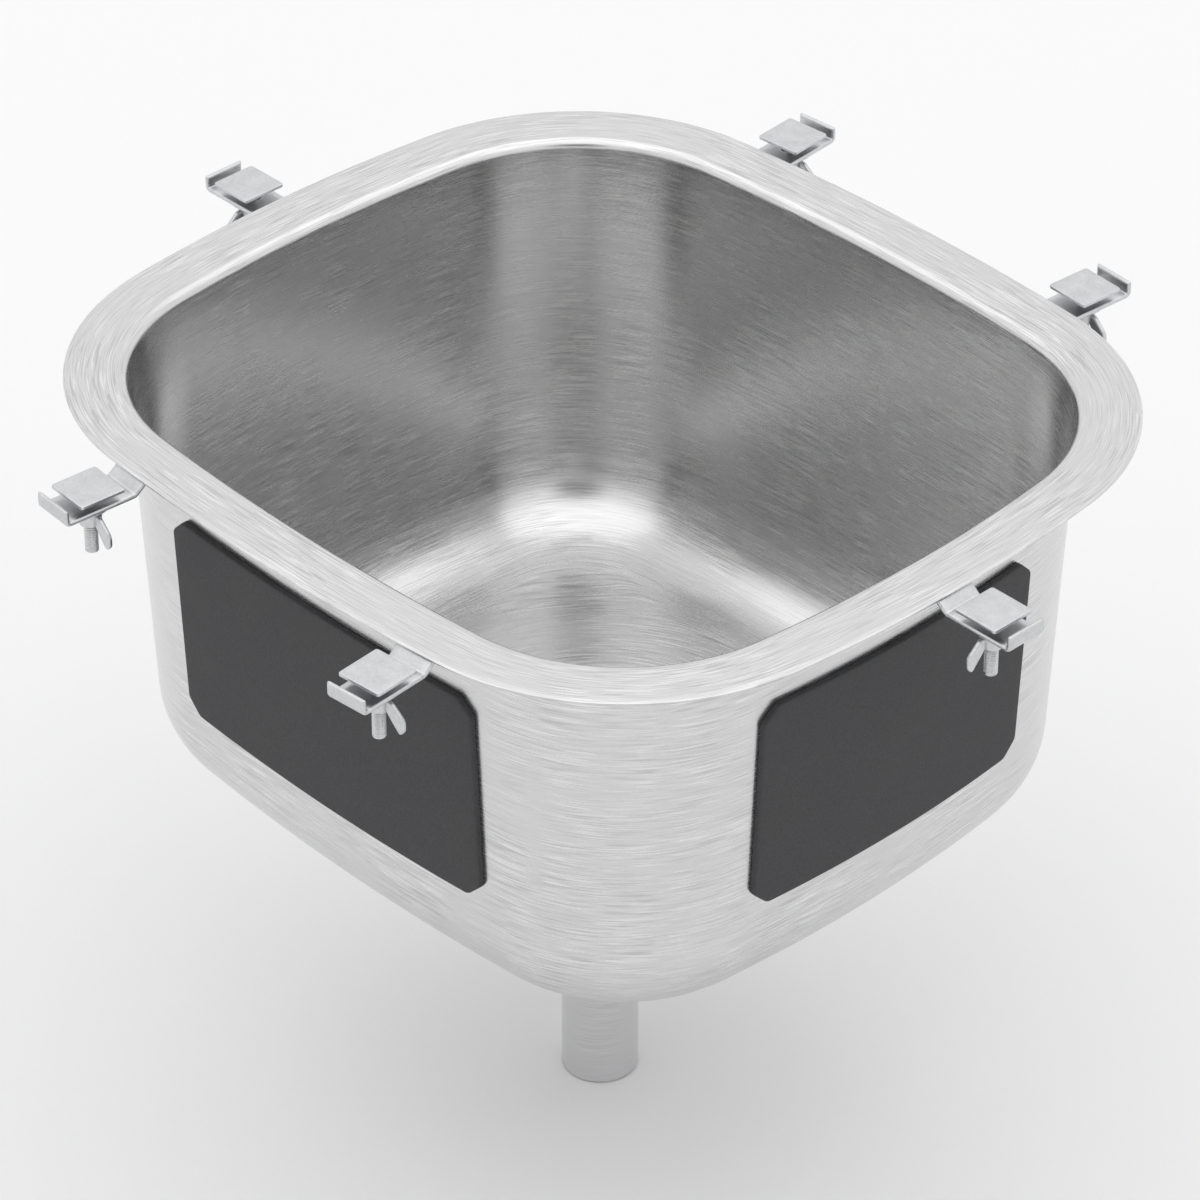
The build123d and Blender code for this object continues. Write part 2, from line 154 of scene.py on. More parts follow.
def floor_level(radius):
    """Show face of the floor: flat outside the fall radius, then an even fall to the well's lip."""
    share = np.clip((fall_radius - radius) / (fall_radius - well_lip_radius), 0, 1)
    return -bowl_depth - floor_fall * share


def well_section():
    """(radius, height) from the well's lip down its slope and in to the drain hole's edge.

    The lip and the foot are arcs tangent to the slope, each written as a quadratic curve
    through its corner, which is all that shows on a round of two millimetres.
    """
    lip = np.array([well_lip_radius, -bowl_depth - floor_fall])
    foot = np.array([well_foot_radius, well_floor])
    inwards = np.array([-1, 0])
    slope = (foot - lip) / np.hypot(*(foot - lip))
    t = np.linspace(0, 1, 7)[:, None]
    bends = []
    for corner, before, after in ((lip, inwards, slope), (foot, slope, inwards)):
        start = corner - before * well_round
        end = corner + after * well_round
        bends.append((1 - t) ** 2 * start + 2 * t * (1 - t) * corner + t**2 * end)
    flat = np.linspace(foot[0] - well_round, drain_hole_radius + sheet / 2, 5)[1:]
    return np.concatenate(bends + [np.stack([flat, np.full_like(flat, well_floor)], axis=-1)])


def bowl_show_face():
    """Points over the show face: rows from flange edge to drain, columns round the mouth.

    From flange to cove each row is the mouth's line moved along its normals and down; on
    the floor each point slides along a straight line to the centre.
    """
    point, normal = mouth_line(bowl_columns)
    flange = np.linspace(flange_width - sheet / 2, 0, flange_rows)
    bend = np.linspace(0, math.pi / 2 - wall_draft, bend_rows + 1)[1:]
    grow = np.concatenate([flange, -rim_roll * np.sin(bend)])
    height = np.concatenate([0 * flange, -rim_roll * (1 - np.cos(bend))])
    cove_middle = -bowl_depth + cove_radius
    cove_grow = cove_middle * math.tan(wall_draft) - wall_inset
    cove_grow -= cove_radius / math.cos(wall_draft)
    turn = np.linspace(wall_draft, math.pi / 2, cove_rows)
    cove = [cove_grow + cove_radius * np.cos(turn), cove_middle - cove_radius * np.sin(turn)]
    cove = np.stack(cove)
    wall = np.linspace([grow[-1], height[-1]], cove[:, 0], wall_rows + 2)[1:-1].T
    grow = np.concatenate([grow, wall[0], cove[0]])
    height = np.concatenate([height, wall[1], cove[1]])
    upper = np.empty((len(grow), len(point), 3))
    upper[..., :2] = point + normal * grow[:, None, None]
    upper[..., 2] = height[:, None]
    foot = upper[-1, :, :2]
    reach = np.hypot(foot[:, 0], foot[:, 1])
    well = well_section()
    share = np.linspace(0, 1, floor_rows + 2)[1:-1, None]
    radius = [reach * (1 - share) + well[0, 0] * share, well[:, :1] + 0 * reach]
    radius = np.concatenate(radius)
    lower = np.empty(radius.shape + (3,))
    lower[..., :2] = foot / reach[:, None] * radius[..., None]
    lower[..., 2] = floor_level(radius)
    lower[len(share) :, :, 2] = well[:, 1:]
    return np.concatenate([upper, lower])


def length_of(vectors):
    """Length of each vector."""
    return np.linalg.norm(vectors, axis=-1, keepdims=True)


def across_of(grid, axis):
    """From the neighbour before to the neighbour after, in a grid closed along this axis."""
    return np.roll(grid, -1, axis=axis) - np.roll(grid, 1, axis=axis)


def half_round(last_row, other_row):
    """Rows on a half circle from one face of the sheet to the other."""
    middle = (last_row + other_row) / 2
    arm = last_row - middle
    away = np.cross(arm, across_of(middle, 0))
    away *= length_of(arm) / length_of(away)
    turn = np.linspace(0, math.pi, edge_rows + 2)[1:-1, None, None]
    return middle + arm * np.cos(turn) + away * np.sin(turn)


def bowl_grid(show):
    """Closed section of the sheet: show face, drain edge, underside, flange edge.

    The underside is the show face moved by the sheet's thickness along its normals, which
    are cross products of its two slopes.
    """
    normal = np.cross(np.gradient(show, axis=0), across_of(show, 1))
    under = (show + normal / length_of(normal) * sheet)[::-1]
    edges = half_round(show[-1], under[0]), half_round(under[-1], show[0])
    return np.concatenate([show, edges[0], under, edges[1]])


def marks_of(grid):
    """Where each point lies in the brushing, and which way the brushing runs there: six numbers.

    The first two go round a circle as long as the row, in metres, so that the lines meet at
    the end of the row. The third is the distance along the section. The last three are the
    unit direction along the row.
    """
    step = np.linalg.norm(np.roll(grid, -1, axis=1) - grid, axis=-1)
    length = step.sum(axis=1, keepdims=True)
    angle = 2 * math.pi * (np.cumsum(step, axis=1) - step) / np.maximum(length, 1e-9)
    down = np.linalg.norm(np.diff(grid, axis=0), axis=-1).mean(axis=1)
    down = np.concatenate([[0], np.cumsum(down)])[:, None] + 0 * angle
    ring = length / (2 * math.pi)
    lay = np.stack([ring * np.cos(angle), ring * np.sin(angle), down], axis=-1)
    run = across_of(grid, 1)
    return np.concatenate([lay, run / np.maximum(length_of(run), 1e-9)], axis=-1)


def woven(grid, marks=None, close_rows=False, close_columns=True):
    """A form: points, the quads between neighbours in a grid of them, and each point's marks."""
    rows, columns = grid.shape[:2]
    row = np.arange(rows - 1 + close_rows)[:, None]
    column = np.arange(columns - 1 + close_columns)[None]
    below, beside = (row + 1) % rows * columns, (column + 1) % columns
    row = row * columns
    quads = np.stack([row + column, row + beside, below + beside, below + column], axis=-1)
    marks = marks_of(grid) if marks is None else marks
    return grid.reshape(-1, 3), quads.reshape(-1, 4), marks.reshape(-1, 6)


def gathered(*forms):
    """Several forms as one."""
    starts = np.cumsum([0] + [len(form[0]) for form in forms[:-1]])
    points = np.concatenate([form[0] for form in forms])
    quads = np.concatenate([form[1] + start for form, start in zip(forms, starts)])
    return points, quads, np.concatenate([form[2] for form in forms])


def make_piece(name, form, body, nodes, material, crease=32, weld=1e-6):
    """A piece from a form: doubles welded, faces outwards, sharp past the crease angle."""
    points, quads, marks = form
    mesh = bpy.data.meshes.new(name)
    mesh.from_pydata(points.tolist(), [], quads.tolist())
    for label, columns in (("lay", slice(0, 3)), ("run", slice(3, 6))):
        attribute = mesh.attributes.new(label, "FLOAT_VECTOR", "POINT")
        attribute.data.foreach_set("vector", marks[:, columns].astype(np.float32).ravel())
    shell = bmesh.new()
    shell.from_mesh(mesh)
    bmesh.ops.remove_doubles(shell, verts=shell.verts, dist=weld)
    bmesh.ops.dissolve_degenerate(shell, edges=shell.edges, dist=weld / 10)
    bmesh.ops.recalc_face_normals(shell, faces=shell.faces)
    shell.to_mesh(mesh)
    shell.free()
    mesh.polygons.foreach_set("use_smooth", np.ones(len(mesh.polygons), dtype=bool))
    mesh.set_sharp_from_angle(angle=math.radians(crease))
    mesh.materials.append(material)
    piece = bpy.data.objects.new(name, mesh)
    bpy.context.scene.collection.objects.link(piece)
    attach(piece, body)
    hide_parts(*nodes)


def feed(tree, node, inputs):
    """Gives a node's inputs their values, or links them to the sockets that feed them."""
    for socket, given in inputs.items():
        if isinstance(given, bpy.types.NodeSocket):
            tree.links.new(given, node.inputs[socket])
        else:
            node.inputs[socket].default_value = given


def new_node(tree, kind, inputs=None, **settings):
    """A shader node with its settings and inputs."""
    node = tree.nodes.new(kind)
    for name, setting in settings.items():
        setattr(node, name, setting)
    feed(tree, node, inputs or {})
    return node


def maths(tree, operation, first, second, clamp=False):
    """Result of a maths node on two numbers or sockets."""
    inputs = {0: first, 1: second}
    return new_node(tree, "ShaderNodeMath", inputs, operation=operation, use_clamp=clamp).outputs[0]


def vector_maths(tree, operation, inputs):
    """Outputs of a vector maths node."""
    return new_node(tree, "ShaderNodeVectorMath", inputs, operation=operation).outputs


def noise(tree, vector, scale, detail=2.0, roughness=0.5):
    """Noise on a vector."""
    inputs = {"Vector": vector, "Scale": scale, "Detail": detail, "Roughness": roughness}
    return new_node(tree, "ShaderNodeTexNoise", inputs).outputs[0]


def spread(tree, value, low, high, to_low, to_high, curve="SMOOTHSTEP"):
    """A value carried over from one range to another, and held at the ends."""
    inputs = {"Value": value, "From Min": low, "From Max": high}
    inputs |= {"To Min": to_low, "To Max": to_high}
    return new_node(tree, "ShaderNodeMapRange", inputs, interpolation_type=curve).outputs[0]


def new_group(name, inputs, outputs):
    """An empty shader node group, the sockets that it is given, and its output node."""
    group = bpy.data.node_groups.new(name, "ShaderNodeTree")
    kind = "NodeSocketFloat"
    for socket, value in inputs.items():
        made = group.interface.new_socket(socket, in_out="INPUT", socket_type=kind)
        made.default_value = value
    for socket in outputs:
        group.interface.new_socket(socket, in_out="OUTPUT", socket_type=kind)
    given = new_node(group, "NodeGroupInput").outputs
    return group, given, new_node(group, "NodeGroupOutput")


def make_brush_lines():
    """Group: fine lines along the lay, as long thin strokes that are strong in patches.

    The lay is divided by the strokes' length and width, so that plain noise on it is drawn
    out along the lines, and only its highest and lowest parts count. Lines runs from -1 to 1.
    """
    sizes = {"Stroke Length": 0.008, "Stroke Width": 0.0004, "Patch Size": 0.06}
    group, given, result = new_group("brush_lines", sizes, ("Lines", "Cloud"))
    lay = new_node(group, "ShaderNodeAttribute", attribute_name="lay").outputs["Vector"]
    along, across, patch = (maths(group, "DIVIDE", 1.0, given[size]) for size in sizes)
    stretch = new_node(group, "ShaderNodeCombineXYZ", {"X": along, "Y": along, "Z": across})
    drawn = vector_maths(group, "MULTIPLY", {0: lay, 1: stretch.outputs[0]})[0]
    scaled = vector_maths(group, "SCALE", {0: lay, "Scale": patch})[0]
    lines = 0.0
    for scale, share in ((1.0, 1.0), (1.7, 0.5)):
        field = noise(group, drawn, scale, detail=0.0)
        lines = maths(group, "ADD", lines, spread(group, field, 0.59, 0.70, 0.0, share))
        lines = maths(group, "ADD", lines, spread(group, field, 0.30, 0.41, -share, 0.0))
    patches = spread(group, noise(group, scaled, 2.0, roughness=0.6), 0.40, 0.62, 0.4, 1.0)
    lines = maths(group, "MULTIPLY", lines, patches)
    feed(group, result, {"Lines": lines, "Cloud": noise(group, scaled, 0.5)})
    return group


brush_lines = make_brush_lines()


def new_material(name, group, values, surface):
    """A new material with its shader's plain values, and the outputs of a group put in it."""
    material = bpy.data.materials.new(name)
    material.use_nodes = True
    tree = material.node_tree
    feed(tree, tree.nodes["Principled BSDF"], surface)
    effect = new_node(tree, "ShaderNodeGroup", node_tree=group)
    feed(tree, effect, values)
    return material, effect.outputs


def dress(material, colour, tint, share, roughness, height, depth):
    """Feeds the shader its roughness, its relief, and a share between two shades of a colour."""
    tree = material.node_tree
    dark, light = ((*(min(1.0, c * k) for c in colour), 1) for k in (1 - tint, 1 + tint))
    mix = new_node(tree, "ShaderNodeMix", data_type="RGBA")
    feed(tree, mix, {"Factor": share, "A": dark, "B": light})
    relief = new_node(tree, "ShaderNodeBump", {"Distance": depth, "Height": height})
    inputs = {"Base Color": mix.outputs["Result"], "Roughness": roughness}
    inputs["Normal"] = relief.outputs[0]
    feed(tree, tree.nodes["Principled BSDF"], inputs)


def brushed_metal(name, colour, roughness, stroke, patch, depth=0.00002, mottle=0.12, tint=0.1):
    """Bare metal with brushed lines in its colour, roughness and relief.

    colour and roughness are those of the plain surface. Strokes of a length and width lift
    and lower both by a share that the patches set, and a slow cloud shifts the roughness by
    the mottle. Reflections are drawn out across the lines.
    """
    values = {"Stroke Length": stroke[0], "Stroke Width": stroke[1], "Patch Size": patch}
    surface = {"Metallic": 1.0, "Anisotropic": 0.5, "Anisotropic Rotation": 0.25}
    material, effect = new_material(name, brush_lines, values, surface)
    tree = material.node_tree
    run = new_node(tree, "ShaderNodeAttribute", attribute_name="run").outputs["Vector"]
    feed(tree, tree.nodes["Principled BSDF"], {"Tangent": run})
    share = spread(tree, effect["Lines"], -1.0, 1.0, 0.0, 1.0, "LINEAR")
    low, high = roughness * (1 - mottle), roughness * (1 + mottle)
    cloudy = spread(tree, effect["Cloud"], 0.3, 0.7, low, high)
    streaky = maths(tree, "MULTIPLY", effect["Lines"], roughness * 0.2)
    dull = maths(tree, "ADD", cloudy, streaky, clamp=True)
    dress(material, colour, tint, share, dull, effect["Lines"], depth)
    return material


def bowl_marks(show, turn_rows=6):
    """The bowl's marks: brushing that follows the mouth down the walls, then circles the drain.

    The two ways are mixed over the first rows of the floor. The underside has the same
    marks as the show face, and each rounded edge goes on from the row before it.
    """
    marks = marks_of(show)
    share = np.clip((np.arange(len(show))[:, None] - floor_start) / turn_rows, 0, 1)
    share = (share**2 * (3 - 2 * share))[..., None]
    x, y = show[..., 0], show[..., 1]
    radius = np.hypot(x, y)
    inwards = marks[floor_start, :, 2].mean() + radius[floor_start].mean() - radius
    circling = np.stack([x, y, inwards, -y / radius, x / radius, 0 * radius], axis=-1)
    marks = marks * (1 - share) + circling * share
    edges = [np.repeat(marks[end][None], edge_rows, axis=0) for end in (-1, 0)]
    return np.concatenate([marks, edges[0], marks[::-1], edges[1]])


bowl_steel = brushed_metal(
    "brushed_bowl_steel", bowl_colour, 0.25, (0.02, 0.0007), 0.12, 0.00001, mottle=0.02, tint=0.18
)
show_face = bowl_show_face()
bowl = woven(bowl_grid(show_face), bowl_marks(show_face), close_rows=True)
make_piece("pressed_bowl", bowl, "sink", ["bowl"], bowl_steel, crease=40)

# ---- Sound pads ----
# Six slabs of dark rubbery damping pad, cut with clipped corners and glued to the outside
# of the four walls and under the floor.
glue_line = 0.0001
pad_thickness = 0.003
pad_clip = 0.008
pad_corner_round = 0.002
pad_edge_round = 0.0011
pad_foot_round = 0.00005
pad_step = 0.006  # between points on a pad's outline
pad_rings = 24  # from the outline to the middle
pad_height = 0.112
pad_middle_drop = 0.096
end_pad_length = 0.170
side_pad_length = 0.200
floor_pad_width = 0.058
floor_pad_length = 0.164
floor_pad_offset = 0.101
pad_colour = (0.045, 0.045, 0.048)


def soft(corners, round_=None, closed=True, steps=4):
    """A polyline with its corners rounded.

    Each corner gives way to a quadratic curve that leaves the sides at the round's length
    from it, or at 0.4 of a side where that is less. One more point on each side keeps the
    flats flat. Where no round is given, the last number of each corner is its round.
    """
    corners = np.array(corners, dtype=float)
    if round_ is None:
        corners, rounds = corners[:, :-1], corners[:, -1]
    else:
        rounds = np.full(len(corners), round_)
    t = np.linspace(0, 1, steps + 1)[:, None]
    line = []
    for place, corner in enumerate(corners):
        if not closed and place in (0, len(corners) - 1):
            line.append(corner[None])
            continue
        back = corners[place - 1] - corner
        ahead = corners[(place + 1) % len(corners)] - corner
        size = min(rounds[place], 0.4 * np.linalg.norm(back), 0.4 * np.linalg.norm(ahead))
        back = back / np.linalg.norm(back) * size
        ahead = ahead / np.linalg.norm(ahead) * size
        line.append((corner + 1.2 * back)[None])
        line.append(corner + (1 - t) ** 2 * back + t**2 * ahead)
        line.append((corner + 1.2 * ahead)[None])
    return np.concatenate(line)


def divided(line, longest):
    """A closed polyline with its long sides divided into pieces no longer than this."""
    side = np.roll(line, -1, axis=0) - line
    parts = np.ceil(np.linalg.norm(side, axis=-1) / longest).astype(int)
    shares = [np.linspace(0, 1, count, endpoint=False)[:, None] for count in parts]
    return np.concatenate([start + way * share for start, way, share in zip(line, side, shares)])


def slab(outline, thickness, round_, place, fill=7, foot_round=None):
    """Form of a plate with rounded edges. place puts (u, v, height) in space.

    Rings run from a point in the middle of the foot out to the outline, over the edge and
    back in to the middle of the top. The outline runs anticlockwise.
    """
    foot_round = round_ if foot_round is None else foot_round
    middle = (outline.max(axis=0) + outline.min(axis=0)) / 2
    run = across_of(outline, 0)
    inward = np.stack([-run[:, 1], run[:, 0]], axis=-1) / length_of(run)
    turn = np.linspace(0, math.pi / 2, 5)[:, None, None]
    share = np.linspace(0, 1, fill + 1)[:-1, None, None]
    halves = []
    for size, base, way in ((foot_round, 0.0, 1), (round_, thickness, -1)):
        flat = middle + (outline + inward * size - middle) * share
        edge = outline + inward * size * (1 - np.sin(turn))
        height = np.concatenate([base + 0 * share, base + way * size * (1 - np.cos(turn))])
        rings = np.concatenate([flat, edge])
        halves.append(np.concatenate([rings, height + 0 * rings[..., :1]], axis=-1)[::way])
    return woven(place(*np.moveaxis(np.concatenate(halves), -1, 0)))


def clipped(length, width):
    """Outline of a pad: a rectangle about the origin with its corners cut off, anticlockwise."""
    x, y = length / 2, width / 2
    corners = [(x, pad_clip - y), (x, y - pad_clip), (x - pad_clip, y), (pad_clip - x, y)]
    corners += [(-a, -b) for a, b in corners]
    return divided(soft(corners, pad_corner_round), pad_step)


def on_wall(bow_radius, reach, heading):
    """Places (along, up, out) on the outside of a wall that bows on a radius, facing a heading."""

    def place(u, v, height):
        drop = v - pad_middle_drop
        out = (sheet + glue_line + height) / math.cos(wall_draft)
        radius = bow_radius - wall_inset + drop * math.tan(wall_draft) + out
        angle = np.arcsin(u / radius)
        away = reach - bow_radius + radius * np.cos(angle)
        turned_x = away * math.cos(heading) - u * math.sin(heading)
        turned_y = away * math.sin(heading) + u * math.cos(heading)
        return np.stack([turned_x, turned_y, drop], axis=-1)

    return place


def under_floor(middle):
    """Places (along, across, down) on the underside of the floor, about a point on the X axis."""

    def place(u, v, height):
        x = middle + u
        return np.stack([x, v, floor_level(np.hypot(x, v)) - sheet - glue_line - height], axis=-1)

    return place


def make_grain_field():
    """Group: a fine grain and slow blotches in the piece's own space, both centred on nought."""
    sizes = {"Grain Size": 0.001, "Blotch Size": 0.03}
    group, given, result = new_group("grain_field", sizes, ("Grain", "Blotch"))
    own_space = new_node(group, "ShaderNodeTexCoord").outputs["Object"]
    for output, detail in (("Grain", 3.0), ("Blotch", 2.0)):
        scale = maths(group, "DIVIDE", 1.0, given[output + " Size"])
        field = noise(group, own_space, scale, detail, roughness=0.6)
        feed(group, result, {output: maths(group, "SUBTRACT", field, 0.5)})
    return group


grain_field = make_grain_field()


def grained(name, colour, roughness, grain, blotch, tint, depth, metallic=0.0, coat=0.0):
    """A material with a grain in its colour and relief, and blotches in colour and roughness.

    grain and blotch are sizes in metres, and depth is the relief's.
    """
    sizes = {"Grain Size": grain, "Blotch Size": blotch}
    surface = {"Metallic": metallic, "Coat Weight": coat}
    material, effect = new_material(name, grain_field, sizes, surface)
    tree = material.node_tree
    both = maths(tree, "ADD", effect["Grain"], effect["Blotch"])
    share = spread(tree, both, -0.4, 0.4, 0.0, 1.0, "LINEAR")
    low, high = roughness * 0.85, min(1.0, roughness * 1.15)
    dull = spread(tree, effect["Blotch"], -0.3, 0.3, low, high)
    dress(material, colour, tint, share, dull, effect["Grain"], depth)
    return material


pad_rubber = grained("damping_pad_rubber", pad_colour, 0.78, 0.0012, 0.04, tint=0.35, depth=0.0002)
end_outline = clipped(end_pad_length, pad_height)
side_outline = clipped(side_pad_length, pad_height)
floor_outline = clipped(floor_pad_width, floor_pad_length)
for side, outline, place in (
    ("sound_pad_right", end_outline, on_wall(end_bow_radius, half_length, 0)),
    ("sound_pad_back", side_outline, on_wall(side_bow_radius, half_width, math.pi / 2)),
    ("sound_pad_left", end_outline, on_wall(end_bow_radius, half_length, math.pi)),
    ("sound_pad_front", side_outline, on_wall(side_bow_radius, half_width, -math.pi / 2)),
    ("floor_pad_right", floor_outline, under_floor(floor_pad_offset)),
    ("floor_pad_left", floor_outline, under_floor(-floor_pad_offset)),
):
    pad = slab(outline, pad_thickness, pad_edge_round, place, pad_rings, pad_foot_round)
    make_piece(side + "_slab", pad, "sink", [side], pad_rubber)

# ---- Flange gasket ----
# A thin ring cut from black rubber sheet. It lies in the drain well, and the strainer's
# flange is drawn down on it.
flange_gasket_thickness = 0.001
strainer_flange_radius = 0.0565
gasket_inset = 0.001
seal_colour = (0.022, 0.022, 0.023)


def turned(section, columns=96, closed=True, shape=None, thread=None):
    """Form of a section, an array of (radius, height), turned about Z.

    shape is a pair of arrays: the columns' angles and a length for each. A third number in
    the section says how many of those lengths to add to the radius. thread is (radius, low,
    high, pitch, depth): the stretch of the section on that radius between the two heights
    gets a helical groove with flat crests and roots, which fades out over its first and
    last turn.
    """
    if section.shape[1] == 2:
        section = np.column_stack([section, np.zeros(len(section))])
    if thread:
        radius, low, high, pitch, depth = thread
        after = np.roll(section, -1, axis=0)
        on_it = (abs(section[:, 0] - radius) < 1e-6) & (abs(after[:, 0] - radius) < 1e-6)
        start = int(np.argmax(on_it * abs(section[:, 1] - after[:, 1])))
        steps = np.arange(low, high, pitch / 6)
        steps = steps if after[start, 1] > section[start, 1] else steps[::-1]
        rows = np.column_stack([np.full(len(steps), radius), steps, np.zeros(len(steps))])
        section = np.concatenate([section[: start + 1], rows, section[start + 1 :]])
    angle, length = shape or (np.arange(columns) * 2 * math.pi / columns, np.zeros(columns))
    reach = section[:, :1] + section[:, 2:] * length
    height = section[:, 1:2] + 0 * reach
    if thread:
        phase = np.abs(2 * np.mod(height / pitch - angle / (2 * math.pi), 1) - 1)
        fade = np.clip(np.minimum(height - low, high - height) / pitch, 0, 1)
        cut = np.clip((phase - 0.25) / 0.5, 0, 1) * fade * (abs(reach - radius) < 1e-6)
        reach = reach - depth * cut
    grid = np.stack([reach * np.cos(angle), reach * np.sin(angle), height], axis=-1)
    return woven(grid, close_rows=closed)


def ring(inner, outer, top, thickness, round_=0.0003, columns=96):
    """Form of a flat washer with rounded edges."""
    foot = top - thickness
    return turned(soft([(inner, top), (outer, top), (outer, foot), (inner, foot)], round_), columns)


strainer_seat = well_floor + flange_gasket_thickness
gasket_radius = strainer_flange_radius - gasket_inset
seal_rubber = grained("black_seal_rubber", seal_colour, 0.55, 0.0006, 0.02, tint=0.3, depth=0.00006)
gasket = ring(drain_hole_radius, gasket_radius, strainer_seat, flange_gasket_thickness)
make_piece("flange_gasket_ring", gasket, "sink", ["flange_gasket"], seal_rubber)

# ---- Strainer cup ----
# A deep pressed stainless cup with a flat flange that rolls over into the throat. Its
# outside is threaded for the ring nut, and it is brazed at the bottom to the nipple.
strainer_flange_thickness = 0.0016
strainer_lip = 0.003
throat_radius = 0.0405
throat_wall = 0.0015
throat_length = 0.038
throat_bend = 0.004
shoulder_radius = 0.031
shoulder_drop = 0.010
pipe_pitch = 0.0022
throat_thread_depth = 0.0006
strainer_colour = (0.62, 0.62, 0.62)

strainer_top = strainer_seat + strainer_flange_thickness
throat_bottom = strainer_top - throat_length
seat_top = throat_bottom - shoulder_drop
shoulder_outer = shoulder_radius + throat_wall
thread_outer = throat_radius + throat_wall
thread_bottom = throat_bottom + throat_wall
thread_top = strainer_seat - 2 * pipe_pitch
cup_corners = [  # radius, height, round
    (strainer_flange_radius, strainer_seat, 0.0005),
    (strainer_flange_radius, strainer_top, 0.0008),
    (throat_radius, strainer_top, strainer_lip),
    (throat_radius, throat_bottom, throat_bend),
    (shoulder_radius, seat_top, 0.0002),
    (shoulder_outer, seat_top, 0.0002),
    (thread_outer, throat_bottom - throat_wall, 0.0045),
    (thread_outer, strainer_seat, 0.0008),
]
cup_thread = (thread_outer, thread_bottom, thread_top, pipe_pitch, throat_thread_depth)
cup = turned(soft(cup_corners), columns=192, thread=cup_thread)
pressed_steel = brushed_metal(
    "pressed_strainer_steel", strainer_colour, 0.16, stroke=(0.03, 0.0003), patch=0.03
)
make_piece("strainer_pressing", cup, "sink", ["strainer_cup"], pressed_steel)

# ---- Outlet nipple and crosspiece ----
# Both are cast brass. The nipple carries the conical seat for the stopper, and is threaded
# for the slip nut. The crosspiece stands in its mouth and guides the basket's post.
outlet_radius = 0.0195
outlet_drop = 0.0045
nipple_radius = 0.0238
nipple_length = 0.026
nipple_thread_margins = (0.001, 0.002)  # at its foot and under its shoulder
nipple_thread_depth = 0.0008
spider_hub_radius = 0.0075
spider_bore_radius = 0.0042
spider_drop = 0.004
spider_height = 0.006
spider_rib = 0.0026
spider_ribs = 4
rib_corner_round = 0.0007
rib_edge_round = 0.0005
tight_gap = 0.00005
brass_colour = (0.55, 0.42, 0.22)

seat_bottom = seat_top - outlet_drop
shoulder_bottom = seat_bottom - throat_wall
nipple_bottom = seat_bottom - nipple_length
nipple_corners = [
    (shoulder_radius, seat_top, 0.0002),
    (outlet_radius, seat_bottom, 0.0015),
    (outlet_radius, nipple_bottom, 0.0004),
    (nipple_radius, nipple_bottom, 0.0008),
    (nipple_radius, shoulder_bottom, 0.0015),
    (shoulder_outer, seat_top - throat_wall, 0.0015),
    (shoulder_outer, seat_top, 0.0002),
]
nipple_thread = (
    nipple_radius,
    nipple_bottom + nipple_thread_margins[0],
    shoulder_bottom - nipple_thread_margins[1],
    pipe_pitch,
    nipple_thread_depth,
)
cast_brass = grained(
    "cast_nipple_brass", brass_colour, 0.42, 0.0009, 0.012, tint=0.2, depth=0.0001, metallic=1.0
)
nipple = turned(soft(nipple_corners), columns=128, thread=nipple_thread)
make_piece("outlet_nipple_casting", nipple, "sink", ["outlet_nipple"], cast_brass)


def turned_about(angle, form):
    """A form turned about Z."""
    points, quads, marks = form
    cosine, sine = math.cos(angle), math.sin(angle)
    rotate = np.array([[cosine, sine, 0], [-sine, cosine, 0], [0, 0, 1]])
    return points @ rotate, quads, np.concatenate([marks[:, :3], marks[:, 3:] @ rotate], axis=-1)


def all_round(count, form):
    """Copies of a form, evenly turned about Z."""
    return gathered(*(turned_about(turn * 2 * math.pi / count, form) for turn in range(count)))


def moved(offset, form):
    """A form moved by an offset."""
    points, quads, marks = form
    return points + np.array(offset), quads, marks


def bar(half_x, half_y, thickness, corner_round, edge_round):
    """Form of a flat bar about the Z axis with its foot at nought, corners and edges rounded."""
    corners = [(half_x, -half_y), (half_x, half_y), (-half_x, half_y), (-half_x, -half_y)]
    outline = soft(corners, corner_round)
    return slab(outline, thickness, edge_round, lambda *place: np.stack(place, axis=-1))


spider_top = seat_bottom - spider_drop
spider_foot = spider_top - spider_height
hub = ring(spider_bore_radius, spider_hub_radius, spider_top, spider_height, 0.0008, 48)
rib_start = (spider_bore_radius + spider_hub_radius) / 2
rib_half = (outlet_radius - tight_gap - rib_start) / 2
rib = bar(rib_half, spider_rib / 2, spider_height, rib_corner_round, rib_edge_round)
rib = moved((rib_start + rib_half, 0, spider_foot), rib)
spider = gathered(hub, all_round(spider_ribs, rib))
make_piece("crosspiece_casting", spider, "sink", ["crosspiece"], cast_brass)

# ---- Sealing washer, friction washer and ring nut ----
# Under the bowl a thick rubber washer and a fibre one are squeezed by a cast zinc ring nut
# on the cup's thread. The nut has a flange above and six lugs for the spanner.
seat_clearance = 0.0006
thread_clearance = 0.00005
sealing_washer_radius = 0.056
sealing_washer_thickness = 0.004
friction_washer_thickness = 0.001
locknut_radius = 0.050
locknut_height = 0.011
locknut_flange_radius = 0.055
locknut_flange_height = 0.0025
locknut_lugs = 6
lug_width = 0.010
lug_flank = 0.022  # the angle that a lug's flank takes up
fibre_colour = (0.36, 0.25, 0.15)
zinc_cast_colour = (0.42, 0.42, 0.43)

